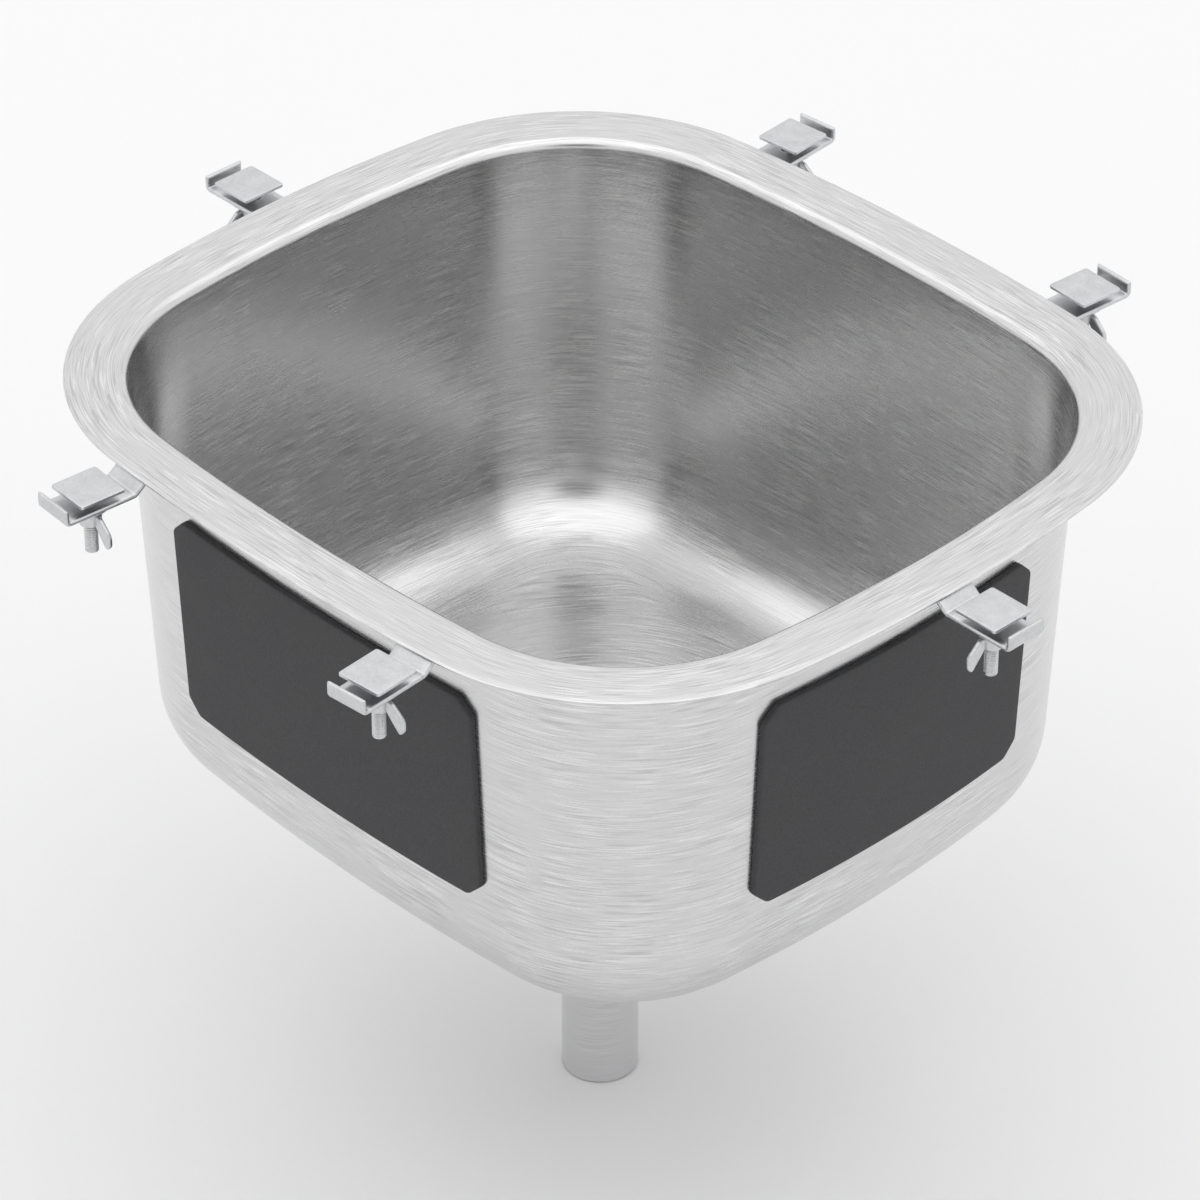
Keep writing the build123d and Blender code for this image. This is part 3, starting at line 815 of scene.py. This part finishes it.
washer_top = well_floor - sheet
friction_top = washer_top - sealing_washer_thickness
locknut_top = friction_top - friction_washer_thickness
thread_space = thread_outer + seat_clearance
thick_washer = ring(
    thread_space, sealing_washer_radius, washer_top, sealing_washer_thickness, 0.001
)
make_piece("thick_washer", thick_washer, "sink", ["sealing_washer"], seal_rubber)
fibre = grained("pressed_fibre", fibre_colour, 0.85, 0.0005, 0.008, tint=0.3, depth=0.0001)
thin_washer = ring(
    thread_space, locknut_flange_radius, friction_top, friction_washer_thickness, 0.0002
)
make_piece("fibre_washer", thin_washer, "sink", ["friction_washer"], fibre)


def lobes(count, half_width, flank, plain=8, steps=6):
    """A shape with lobes all round: angles of a full turn, and each one's share of 0 to 1.

    The lobes' flanks get more of the angles. On a flank the share follows the smooth cubic
    3t² − 2t³.
    """
    edge = math.pi / count
    t = np.linspace(0, 1, steps)
    rise = half_width + flank * (0.5 - t)
    angle = np.concatenate([np.linspace(edge, rise[0], plain, endpoint=False), rise, [0.0]])
    share = np.concatenate([np.zeros(plain), t**2 * (3 - 2 * t), [1.0]])
    angle = np.concatenate([-angle, angle[-2:0:-1]])
    share = np.concatenate([share, share[-2:0:-1]])
    centres = np.arange(count) * 2 * edge
    return (centres[:, None] + angle).ravel(), np.tile(share, count)


lug_rise = locknut_flange_radius - locknut_radius
lug_half = lug_width / 2 / locknut_radius
flange_bottom = locknut_top - locknut_flange_height
locknut_bottom = locknut_top - locknut_height
nut_bore = thread_outer + thread_clearance
locknut_corners = [  # radius, height, rise of the lobes, round
    (nut_bore, locknut_top, 0, 0.0005),
    (locknut_flange_radius, locknut_top, 0, 0.0006),
    (locknut_flange_radius, flange_bottom, 0, 0.0006),
    (locknut_radius, flange_bottom, lug_rise, 0.0007),
    (locknut_radius, locknut_bottom, lug_rise, 0.0009),
    (nut_bore, locknut_bottom, 0, 0.0007),
]
cast_zinc = grained(
    "cast_nut_zinc", zinc_cast_colour, 0.5, 0.0008, 0.015, tint=0.2, depth=0.00012, metallic=0.9
)
locknut = turned(soft(locknut_corners), shape=lobes(locknut_lugs, lug_half, lug_flank))
make_piece("ring_nut", locknut, "sink", ["locknut"], cast_zinc)

# ---- Tailpiece, its washer and the slip nut ----
# A thin plated tube whose rolled flange is drawn up against a soft white washer by a plated
# slip nut with ribs for the hand.
tailpiece_washer_thickness = 0.002
tailpiece_radius = 0.01905
tailpiece_wall = 0.0009
tailpiece_length = 0.1016
tailpiece_flange_radius = 0.0232
tailpiece_flange_thickness = 0.001
coupling_radius = 0.029
coupling_height = 0.023
coupling_lip_thickness = 0.003
coupling_lip_clearance = 0.001
coupling_ribs = 8
coupling_rib_width = 0.004
coupling_rib_rise = 0.0016
coupling_rib_margin = 0.003
coupling_rib_slope = 0.0012
coupling_rib_flank = 0.05  # the angle that a rib's flank takes up
washer_white = (0.78, 0.78, 0.74)
tube_colour = (0.72, 0.72, 0.73)
nut_colour = (0.62, 0.62, 0.63)

tailpiece_top = nipple_bottom - tailpiece_washer_thickness
washer_hole = tailpiece_radius + thread_clearance
soft_washer = ring(washer_hole, tailpiece_flange_radius, nipple_bottom, tailpiece_washer_thickness)
white_plastic = grained(
    "white_washer_plastic", washer_white, 0.4, 0.0006, 0.01, tint=0.05, depth=0.00003
)
make_piece(
    "soft_washer", soft_washer, "sink", ["tailpiece_washer"], white_plastic
)

tube_inside = tailpiece_radius - tailpiece_wall
tube_shoulder = tailpiece_top - tailpiece_flange_thickness
tube_foot = tailpiece_top - tailpiece_length
tube_corners = [
    (tube_inside, tailpiece_top, 0.0008),
    (tailpiece_flange_radius, tailpiece_top, 0.0004),
    (tailpiece_flange_radius, tube_shoulder, 0.0003),
    (tailpiece_radius, tube_shoulder, 0.0003),
    (tailpiece_radius, tube_foot, 0.00035),
    (tube_inside, tube_foot, 0.00035),
]
plated_tube = brushed_metal(
    "plated_tube_metal", tube_colour, 0.13, stroke=(0.02, 0.0005), patch=0.05, mottle=0.3
)
tube = turned(soft(tube_corners), columns=128)
make_piece("tailpiece_tube", tube, "sink", ["tailpiece"], plated_tube)

lip_top = tube_shoulder - thread_clearance
coupling_bottom = lip_top - coupling_lip_thickness
coupling_top = coupling_bottom + coupling_height
rib_top = coupling_top - coupling_rib_margin
rib_bottom = coupling_bottom + coupling_rib_margin
coupling_bore = nipple_radius + thread_clearance
lip_bore = tailpiece_radius + coupling_lip_clearance
coupling_corners = [
    (coupling_bore, coupling_top, 0, 0.0006),
    (coupling_radius, coupling_top, 0, 0.0015),
    (coupling_radius, rib_top, 0, 0.0003),
    (coupling_radius, rib_top - coupling_rib_slope, coupling_rib_rise, 0.0003),
    (coupling_radius, rib_bottom + coupling_rib_slope, coupling_rib_rise, 0.0003),
    (coupling_radius, rib_bottom, 0, 0.0003),
    (coupling_radius, coupling_bottom, 0, 0.0015),
    (lip_bore, coupling_bottom, 0, 0.0006),
    (lip_bore, lip_top, 0, 0.0005),
    (coupling_bore, lip_top, 0, 0.0004),
]
plated_nut = brushed_metal("plated_nut_metal", nut_colour, 0.24, stroke=(0.01, 0.0005), patch=0.02)
coupling_rib_half = coupling_rib_width / 2 / coupling_radius
ribbed = lobes(coupling_ribs, coupling_rib_half, coupling_rib_flank)
coupling = turned(soft(coupling_corners), shape=ribbed)
make_piece("slip_nut", coupling, "sink", ["coupling_nut"], plated_nut)

# ---- Lift-out basket ----
# A thin pressed stainless cup with a beaded rim, slots down its side and two rings of slots
# in its floor. A brass rod runs through it from a black knob to a split spring tip, and a
# brass nut holds a rubber stopper up against its floor.
basket_clearance = 0.0015
basket_wall = 0.0008
basket_bead = 0.0012
basket_drop = 0.009
basket_bottom_radius = 0.030
basket_heel_swell = 0.0002  # of the rounded heel past the wall's foot
basket_columns = 96
side_slots = 12
side_slot_width = 0.004
side_slot_length = 0.015
floor_slot_width = 0.0032
inner_floor_slots = 4
inner_floor_slot_span = (0.0080, 0.0145)
outer_floor_slots = 8
outer_floor_slot_span = (0.0175, 0.0260)
band_split_radius = 0.016
hub_split_radius = 0.0065
heel_split_radius = 0.0280
stopper_radius = 0.028
stopper_foot_radius = 0.0225
stopper_thickness = 0.0045
stopper_chamfer = 0.0015
stopper_seat_gap = 0.0003
post_radius = 0.003
post_grip = 0.005
post_tip_radius = 0.0039
post_tip_length = 0.009
post_end_radius = 0.0022
post_slit = 0.001
knob_radius = 0.011
knob_crown_radius = 0.007
knob_crown_drop = 0.003
knob_rim = 0.0016
knob_height = 0.011
knob_neck_radius = 0.005
knob_top_rise = 0.001
stopper_nut_radius = 0.0065
stopper_nut_height = 0.0026
stopper_nut_chamfer = 0.0004
knob_black = (0.016, 0.016, 0.017)
bright_brass_colour = (0.70, 0.52, 0.25)

seat_slope = outlet_drop / (shoulder_radius - outlet_radius)
stopper_bottom = seat_bottom + seat_slope * (stopper_foot_radius - outlet_radius)
stopper_bottom += stopper_seat_gap
basket_bottom = stopper_bottom + stopper_thickness
basket_floor = basket_bottom + basket_wall
basket_top = strainer_top - basket_drop
basket_radius = throat_radius - basket_clearance
bead_bottom = basket_top - 2 * basket_bead
post_space = post_radius + thread_clearance


def edge_loop(across, along):
    """Points round the edge of a square that spans -1 to 1 both ways, from its first corner."""
    a = np.linspace(-1, 1, across + 1)[:-1]
    b = np.linspace(-1, 1, along + 1)[:-1]
    sides = [(a, 0 * a - 1), (0 * b + 1, b), (-a, 0 * a + 1), (0 * b - 1, -b)]
    return np.concatenate([np.stack(side, axis=-1) for side in sides])


def slot_loop(edge, half_width, half_length, centre):
    """The slot's round-ended outline, a point for each point of the edge round it.

    Each is half the slot's width from the slot's middle line, towards its edge point.
    """
    reach = half_length - half_width
    core = np.clip(edge[:, 1] - centre, -reach, reach) + centre
    spine = np.stack([0 * core, core], axis=-1)
    way = edge - spine
    return spine + half_width * way / length_of(way)


def turning_marks(points):
    """Marks of lines turned round the axis: they are stepped by height and radius together."""
    x, y, z = np.moveaxis(points, -1, 0)
    radius = np.hypot(x, y)
    return np.stack([x, y, z + radius, -y / radius, x / radius, 0 * radius], axis=-1)


def slot_field(edge, hole, thickness, place):
    """Form of a field of sheet round one slot, with the slot's edge rounded.

    Rows run from the field's edge over the upper face to the slot, through the sheet in a
    half circle, and back over the lower face. place puts (across, along, height) in space.
    """
    way = edge - hole
    way /= length_of(way)
    start = hole + way * thickness / 2
    share = np.array([0, 0.35, 0.65, 0.85, 1.0])[:, None, None]
    over = edge + (start - edge) * share
    turn = np.linspace(0, math.pi, 7)[1:-1, None, None]
    through = start - way * thickness / 2 * np.sin(turn)
    across, along = np.moveaxis(np.concatenate([over, through, over[::-1]]), -1, 0)
    face = np.ones_like(share)
    height = np.concatenate([face, np.cos(turn), -face])[..., 0] * thickness / 2
    points = place(across, along, height + 0 * across)
    return woven(points, turning_marks(points))


def cone_place(low, high):
    """Places (across, along, height) on a cone up the slope between two (radius, height)."""
    unit = (high - low) / np.linalg.norm(high - low)

    def place(across, along, height):
        radius = low[0] + unit[0] * along
        angle = across / radius
        radius = radius + unit[1] * height
        level = low[1] + unit[1] * along - unit[0] * height
        return np.stack([radius * np.cos(angle), radius * np.sin(angle), level], axis=-1)

    return place


def slotted_band(low, high, count, width, span):
    """Form of a slotted cone or flat ring between two (radius, height) points.

    The span is where each slot begins and ends, along the slope from the low point.
    """
    low, high = np.array(low), np.array(high)
    length = np.linalg.norm(high - low)
    square = edge_loop(basket_columns // count, 10)
    along = (square[:, 1] + 1) / 2 * length
    radius = low[0] + (high - low)[0] * along / length
    edge = np.stack([square[:, 0] * radius * math.pi / count, along], axis=-1)
    hole = slot_loop(edge, width / 2, (span[1] - span[0]) / 2, (span[0] + span[1]) / 2)
    return all_round(count, slot_field(edge, hole, basket_wall, cone_place(low, high)))


def open_line(corners, round_=None, steps=4):
    """A rounded line that is open at both ends."""
    return soft(corners, round_, closed=False, steps=steps)


half_wall = basket_wall / 2
wall_low = np.array([basket_bottom_radius - half_wall, basket_floor])
wall_high = np.array([basket_radius - basket_bead - half_wall, bead_bottom - basket_wall])
wall_unit = (wall_high - wall_low) / np.linalg.norm(wall_high - wall_low)
wall_side = np.array([wall_unit[1], -wall_unit[0]]) * half_wall
wall_middle = ((bead_bottom + basket_bottom) / 2 - wall_low[1]) / wall_unit[1]
slot_span = (wall_middle - side_slot_length / 2, wall_middle + side_slot_length / 2)
bands = [slotted_band(wall_low, wall_high, side_slots, side_slot_width, slot_span)]
for count, inner, outer, span in (
    (outer_floor_slots, band_split_radius, heel_split_radius, outer_floor_slot_span),
    (inner_floor_slots, hub_split_radius, band_split_radius, inner_floor_slot_span),
):
    inner_edge = (inner, basket_bottom + half_wall)
    outer_edge = (outer, basket_bottom + half_wall)
    bands.append(
        slotted_band(inner_edge, outer_edge, count, floor_slot_width, np.array(span) - inner)
    )
outer_corners = [
    (heel_split_radius, basket_bottom),
    (basket_bottom_radius + basket_heel_swell, basket_bottom),
    wall_low + wall_side,
]
inner_corners = [
    (heel_split_radius, basket_floor),
    (basket_bottom_radius - basket_wall, basket_floor),
    wall_low - wall_side,
]
hub_corners = [
    (hub_split_radius, basket_floor),
    (post_space, basket_floor),
    (post_space, basket_bottom),
    (hub_split_radius, basket_bottom),
]
bead_centre = np.array([basket_radius - basket_bead, basket_top - basket_bead])
sweep = np.linspace(-math.pi / 2, math.pi, 14)
bead = bead_centre + basket_bead * np.stack([np.cos(sweep), np.sin(sweep)], axis=-1)
rim = np.concatenate([[wall_high + wall_side], bead, [wall_high - wall_side]])
heel_and_hub = ((outer_corners, 0.0012), (inner_corners, 0.0008), (hub_corners, 0.0002))
lines = [open_line(corners, round_) for corners, round_ in heel_and_hub] + [rim]
points, quads, _ = gathered(*bands, *(turned(line, closed=False) for line in lines))
basket = (points, quads, turning_marks(points))
make_piece(
    "basket_pressing", basket, "basket", ["basket_cup"], pressed_steel,
    crease=50, weld=2e-6,
)

stopper_side = stopper_bottom + seat_slope * (stopper_radius - stopper_foot_radius)
stopper_corners = [
    (post_space, basket_bottom),
    (stopper_radius - stopper_chamfer, basket_bottom),
    (stopper_radius, basket_bottom - stopper_chamfer),
    (stopper_radius, stopper_side),
    (stopper_foot_radius, stopper_bottom),
    (post_space, stopper_bottom),
]
stopper = turned(soft(stopper_corners, 0.0006))
make_piece("rubber_stopper", stopper, "basket", ["basket_stopper"], seal_rubber)

bright_brass = brushed_metal(
    "turned_brass", bright_brass_colour, 0.22, stroke=(0.004, 0.00015), patch=0.01
)
corner_angles = np.arange(6) * math.pi / 3
between = np.arange(48) * math.pi / 24 + math.pi / 48
hex_angles = np.sort(np.concatenate([corner_angles, between]))
to_flat = np.mod(hex_angles, math.pi / 3) - math.pi / 6
apothem = stopper_nut_radius * math.cos(math.pi / 6)
nut_top = stopper_bottom - tight_gap
nut_foot = nut_top - stopper_nut_height
nut_corners = [
    (post_space, nut_top, 0),
    (apothem, nut_top, 0),
    (apothem, nut_top - stopper_nut_chamfer, 1),
    (apothem, nut_foot + stopper_nut_chamfer, 1),
    (apothem, nut_foot, 0),
    (post_space, nut_foot, 0),
]
hexagon = (hex_angles, apothem / np.cos(to_flat) - apothem)
stopper_nut = turned(soft(nut_corners, 0.0002), shape=hexagon)
make_piece("hexagon_nut", stopper_nut, "basket", ["stopper_nut"], bright_brass)

knob_top = strainer_top + knob_top_rise
knob_bottom = knob_top - knob_height
post_top = knob_bottom + post_grip
tip_bottom = spider_foot - post_tip_length
tip_middle = tip_bottom + post_tip_length / 2
tip_start = tip_middle + post_tip_length / 4
rod_corners = [(0, post_top), (post_radius, post_top), (post_radius, spider_foot), (0, spider_foot)]
rod = turned(open_line(rod_corners, 0.0003), columns=48, closed=False)
tip_corners = [
    (post_radius, spider_foot),
    (post_radius, tip_start),
    (post_tip_radius, tip_middle),
    (post_end_radius, tip_bottom),
]


def half_tip(line, columns=24):
    """Form of one half of the split tip: a D-shaped section at each (radius, height) of a line."""
    start = np.arcsin(post_slit / 2 / line[:, :1])
    angle = start + (math.pi - 2 * start) * np.linspace(0, 1, columns)
    arc = np.stack([line[:, :1] * np.cos(angle), line[:, :1] * np.sin(angle)], axis=-1)
    share = np.linspace(0, 1, 8)[1:-1, None]
    flat = arc[:, -1:] + (arc[:, :1] - arc[:, -1:]) * share
    loop = np.concatenate([arc, flat], axis=1)
    loop = np.concatenate([loop, line[:, None, 1:] + 0 * loop[..., :1]], axis=-1)
    ends = [np.broadcast_to(row.mean(axis=0), row.shape)[None] for row in (loop[0], loop[-1])]
    return woven(np.concatenate([ends[0], loop, ends[1]]))


tip = half_tip(open_line(tip_corners, 0.0012, steps=6))
post = gathered(rod, all_round(2, tip))
make_piece("basket_rod", post, "basket", ["basket_post"], bright_brass)

crown_foot = knob_top - knob_crown_drop
knob_corners = [
    (0, knob_top, 0),
    (knob_crown_radius, knob_top, 0.0035),
    (knob_radius, crown_foot, 0.0015),
    (knob_radius, crown_foot - knob_rim, 0.0008),
    (knob_neck_radius, crown_foot - 2 * knob_rim, 0.002),
    (knob_neck_radius, knob_bottom, 0.0005),
    (post_space, knob_bottom, 0.0002),
    (post_space, post_top + thread_clearance, 0.0002),
    (0, post_top + thread_clearance, 0),
]
knob = turned(open_line(knob_corners, steps=6), columns=64, closed=False)
knob_plastic = grained(
    "black_knob_plastic", knob_black, 0.28, 0.0005, 0.01, tint=0.2, depth=0.00002, coat=0.2
)
make_piece("knob", knob, "basket", ["basket_knob"], knob_plastic)

# ---- Worktop anchors ----
# Six square plates of zinc-plated steel that are glued under the worktop, each with a
# threaded stud welded to it.
side_clip_spacing = 0.190
stud_offset = 0.021
stud_radius = 0.003175
stud_length = 0.034
stud_pitch = 0.00127
stud_thread_depth = 0.0005
stud_thread_margin = 0.0006
anchor_plate = 0.024
anchor_thickness = 0.0016
anchor_corner_round = 0.0015
anchor_edge_round = 0.0003
weld_radius = 0.0045
weld_height = 0.0009
weld_overlap = 0.0002
zinc_colour = (0.60, 0.61, 0.62)


def clip_places():
    """(heading, offset) of each clip, anticlockwise from the +X end.

    The offset is a point on the flange's edge, and the heading is the way out there.
    """
    side_turn = math.asin(side_clip_spacing / 2 / (side_bow_radius + flange_width))
    ends = half_length - end_bow_radius, end_bow_radius + flange_width, (0,)
    sides = half_width - side_bow_radius, side_bow_radius + flange_width, (-side_turn, side_turn)
    places = []
    for quarter, (back, reach, turns) in enumerate((ends, sides, ends, sides)):
        facing = quarter * math.pi / 2
        middle = np.array([math.cos(facing), math.sin(facing), 0]) * back
        for heading in (facing + turn for turn in turns):
            outward = np.array([math.cos(heading), math.sin(heading), 0])
            places.append((heading, middle + reach * outward))
    return places


def set_out(form):
    """Copies of a form at every clip's place, with the stud's axis as its own, as one form."""
    form = moved((stud_offset, 0, 0), form)
    return gathered(*(moved(place, turned_about(turn, form)) for turn, place in clip_places()))


plate_foot = -anchor_thickness
weld_foot = plate_foot - weld_height
plate_half = anchor_plate / 2
plate = bar(plate_half, plate_half, anchor_thickness, anchor_corner_round, anchor_edge_round)
stud_corners = [
    (0, plate_foot / 2, 0),
    (stud_radius, plate_foot / 2, 0.0002),
    (stud_radius, -stud_length, 0.0008),
    (0, -stud_length, 0),
]
stud_thread_foot = stud_thread_margin - stud_length
stud_thread = (stud_radius, stud_thread_foot, weld_foot, stud_pitch, stud_thread_depth)
stud = turned(open_line(stud_corners), columns=32, closed=False, thread=stud_thread)
weld_corners = [
    (stud_radius / 2, plate_foot + weld_overlap),
    (weld_radius, plate_foot + weld_overlap),
    (weld_radius, plate_foot - weld_height / 3),
    (stud_radius, weld_foot),
    (stud_radius / 2, weld_foot),
]
weld = turned(soft(weld_corners, 0.0004), columns=32)
zinc_plate = grained(
    "bright_zinc_plate", zinc_colour, 0.34, 0.0015, 0.008, tint=0.12, depth=0.00004, metallic=1.0
)
anchors = set_out(gathered(moved((0, 0, plate_foot), plate), stud, weld))
make_piece("anchor_plates", anchors, "sink", ["anchor_studs"], zinc_plate)

# ---- Clips ----
# Cranked straps of zinc-plated steel. The foot goes in under the flange, the slot lets the
# strap slide on its stud, and the heel turns up to the worktop.
clip_plate = 0.0025
clip_width = 0.022
clip_bend = 0.003
clip_reach = 0.014
clip_bridge_drop = 0.006
clip_heel_offset = 0.019
clip_foot_corner = 0.005
slot_width = 0.0075
slot_length = 0.013
slot_field_half = 0.009

half_plate = clip_plate / 2
flat_half_width = clip_width / 2 - half_plate
foot_level = -sheet - tight_gap - half_plate
bridge_level = -clip_bridge_drop - half_plate
heel_offset = stud_offset + clip_heel_offset
crank_slope = math.atan2(foot_level - bridge_level, 2 * clip_bend)
crank_setback = clip_bend * math.tan(crank_slope / 2)


def strap(line, half_width, across=6):
    """Rows of a strap along a line of (x, z): at each point a rounded rectangle square to it."""
    run = np.gradient(line, axis=0)
    run /= length_of(run)
    up = np.stack([-run[:, 1], run[:, 0]], axis=-1)
    share = np.linspace(-1, 1, across + 1)
    turn = np.linspace(0, math.pi, 7)[1:-1]
    flat = half_width[:, None] - half_plate
    round_y = flat + half_plate * np.sin(turn)
    y = np.concatenate([flat * share, round_y, -flat * share, -round_y], axis=1)
    face = np.ones_like(share)
    lift = np.concatenate([face, np.cos(turn), -face, -np.cos(turn)]) * half_plate
    x, z = line[:, :1] + up[:, :1] * lift, line[:, 1:] + up[:, 1:] * lift
    return np.stack([x, y, z], axis=-1)


def ended(rows):
    """Rows of a strap, with more that close the last one to its middle line in a round."""
    end = rows[-1]
    way = end.mean(axis=0) - rows[-2].mean(axis=0)
    way /= np.linalg.norm(way)
    middle = np.where([True, False, True], end.mean(axis=0), end)
    turn = np.linspace(0, math.pi / 2, 4)[1:, None, None]
    caps = middle + (end - middle) * np.cos(turn) + way * half_plate * np.sin(turn)
    return np.concatenate([rows, caps])


foot_tip = half_plate - clip_reach
crank_corners = [
    (foot_tip, foot_level),
    (-clip_bend, foot_level),
    (clip_bend, bridge_level),
    (stud_offset - slot_field_half, bridge_level),
]
crank = open_line(crank_corners, crank_setback, steps=6)
foot_x = np.linspace(foot_tip, -clip_bend - 2 * crank_setback, 12)[1:]
foot_rows = np.column_stack([foot_x, np.full_like(foot_x, foot_level)])
front_line = np.concatenate([crank[:1], foot_rows, crank[1:]])
cut_corner = np.clip(clip_foot_corner + foot_tip - front_line[:, 0], 0, None)
front = ended(strap(front_line, clip_width / 2 - cut_corner)[::-1])[::-1]
rear_corners = [
    (stud_offset + slot_field_half, bridge_level),
    (heel_offset, bridge_level),
    (heel_offset, -tight_gap - half_plate),
]
rear_line = open_line(rear_corners, clip_bend, steps=8)
rear = ended(strap(rear_line, np.full(len(rear_line), clip_width / 2)))
edge = (edge_loop(10, 6) * np.array([slot_field_half, flat_half_width]))[:, ::-1]
hole = slot_loop(edge, slot_width / 2, slot_length / 2, 0.0)


def on_bridge(across, along, height):
    """Places (across, along, height) on the clip's bridge, about its stud."""
    return np.stack([stud_offset + along, across, bridge_level + height], axis=-1)


turn = np.linspace(0, math.pi, 7)
side_x = np.linspace(-slot_field_half, slot_field_half, 11)[:, None] + 0 * turn
side_y = flat_half_width + half_plate * np.sin(turn) + 0 * side_x
side_z = half_plate * np.cos(turn) + 0 * side_x
sides = [woven(on_bridge(y, side_x, side_z), close_columns=False) for y in (side_y, -side_y)]
field = slot_field(edge, hole, clip_plate, on_bridge)
clip = gathered(woven(front), woven(rear), field, *sides)
for number, (heading, offset) in enumerate(clip_places(), start=1):
    placed = moved(offset, turned_about(heading, clip))
    name = f"clip_{number}"
    make_piece(
        name + "_strap", placed, name, [name], zinc_plate, crease=45, weld=3e-6
    )

# ---- Clip washers and wing nuts ----
# Under each bridge go a plain washer and a wing nut, both of zinc-plated steel. The nut is
# turned up the stud by hand and clamps the clip.
clip_washer_radius = 0.009
clip_washer_thickness = 0.0016
stud_play = 0.0002
wing_hub_radius = 0.006
wing_hub_taper = math.radians(6)
wing_hub_height = 0.009
wing_root_radius = 0.004
wing_shoulder_radius = 0.008
wing_span_radius = 0.0155
wing_rise = 0.008
wing_thickness = 0.0024
wing_edge_round = 0.0009

washer_bore = stud_radius + stud_play
washer_roof = -clip_bridge_drop - clip_plate - tight_gap
washer = ring(washer_bore, clip_washer_radius, washer_roof, clip_washer_thickness, columns=48)
make_piece("plain_washers", set_out(washer), "sink", ["clip_washers"], zinc_plate)

hub_foot_radius = wing_hub_radius - wing_hub_height * math.tan(wing_hub_taper)
wing_hub_corners = [
    (washer_bore, 0, 0.0003),
    (wing_hub_radius, 0, 0.0004),
    (hub_foot_radius, -wing_hub_height, 0.0008),
    (washer_bore, -wing_hub_height, 0.0004),
]
wing_hub = turned(soft(wing_hub_corners), columns=48)
wing_foot = -wing_hub_height - wing_rise
wing_corners = [
    (wing_root_radius, -wing_thickness, 0.0014),
    (wing_root_radius, -wing_hub_height + wing_thickness, 0.0014),
    (wing_shoulder_radius, -wing_hub_height - wing_thickness, 0.002),
    (wing_span_radius - wing_thickness, wing_foot, 0.0022),
    (wing_span_radius, wing_foot + wing_thickness, 0.0022),
    (wing_span_radius, -wing_hub_height, 0.003),
    (wing_shoulder_radius, -wing_thickness, 0.002),
]


def upright(u, v, height):
    """Places (out, up, height) with out along Y, up along Z and the thickness centred on X."""
    return np.stack([wing_thickness / 2 - height, u, v], axis=-1)


wing = slab(soft(wing_corners), wing_thickness, wing_edge_round, upright)
wing_nut = gathered(wing_hub, all_round(2, wing))
wing_nuts = set_out(moved((0, 0, washer_roof - clip_washer_thickness), wing_nut))
make_piece("wing_nut_set", wing_nuts, "sink", ["wing_nuts"], zinc_plate)

# ---- Studio ----
# A plain pale floor just under the tailpiece and a plain white sky that is brighter
# overhead, as a big soft light hung over the bench would be.
floor_size = 30.0
floor_gap = 0.0005
floor_tone = (0.95, 0.95, 0.95)
plain_level = 0.84  # of the sky on matt pieces, at which they show the colour they have
overhead_level = 1.5
dark_level = 0.25  # in the room behind the camera, which gives less light
dark_core = math.cos(math.radians(5))
dark_edge = math.cos(math.radians(20))  # from the core out to here the sky grows light again
ground = cad_box[0][2] - floor_gap
corners = [(-1, -1), (1, -1), (1, 1), (-1, 1)]
corners = [(x * floor_size, y * floor_size, ground) for x, y in corners]
floor_mesh = bpy.data.meshes.new("studio_floor")
floor_mesh.from_pydata(corners, [], [(0, 1, 2, 3)])
floor = bpy.data.objects.new("studio_floor", floor_mesh)
bpy.context.scene.collection.objects.link(floor)

paint = bpy.data.materials.new("studio_floor")
paint.use_nodes = True
tree = paint.node_tree
shader = tree.nodes["Principled BSDF"]
feed(tree, shader, {"Base Color": (*floor_tone, 1), "Roughness": 0.9, "Specular IOR Level": 0.0})
underneath = new_node(tree, "ShaderNodeNewGeometry").outputs["Backfacing"]
clear = new_node(tree, "ShaderNodeBsdfTransparent").outputs[0]  # the look of its underside
one_way = new_node(tree, "ShaderNodeMixShader", {0: underneath, 1: shader.outputs[0], 2: clear})
feed(tree, tree.nodes["Material Output"], {"Surface": one_way.outputs[0]})
floor_mesh.materials.append(paint)

bpy.context.scene.view_settings.view_transform = "Standard"
sky = bpy.data.worlds.new("sky")
bpy.context.scene.world = sky
sky.use_nodes = True
tree = sky.node_tree
looking = new_node(tree, "ShaderNodeTexCoord").outputs["Generated"]
upwards = new_node(tree, "ShaderNodeSeparateXYZ", {0: looking}).outputs["Z"]
overhead = spread(tree, upwards, 0.6, 0.85, 1.0, overhead_level)
backwards = vector_maths(tree, "DOT_PRODUCT", {0: looking, 1: tuple(towards_camera)})["Value"]
shade = spread(tree, backwards, dark_edge, dark_core, 1.0, dark_level)
level = maths(tree, "MULTIPLY", overhead, shade)
ray = new_node(tree, "ShaderNodeLightPath").outputs
mirrored = maths(tree, "MAXIMUM", ray["Is Glossy Ray"], ray["Is Transmission Ray"])
level = maths(tree, "MULTIPLY", level, spread(tree, mirrored, 0.0, 1.0, plain_level, 1.0))
plain_sky = new_node(tree, "ShaderNodeMix", {"Factor": ray["Is Camera Ray"], "A": level, "B": 1.0})
strength = plain_sky.outputs["Result"]
feed(tree, tree.nodes["Background"], {"Color": (1.0, 1.0, 1.0, 1.0), "Strength": strength})
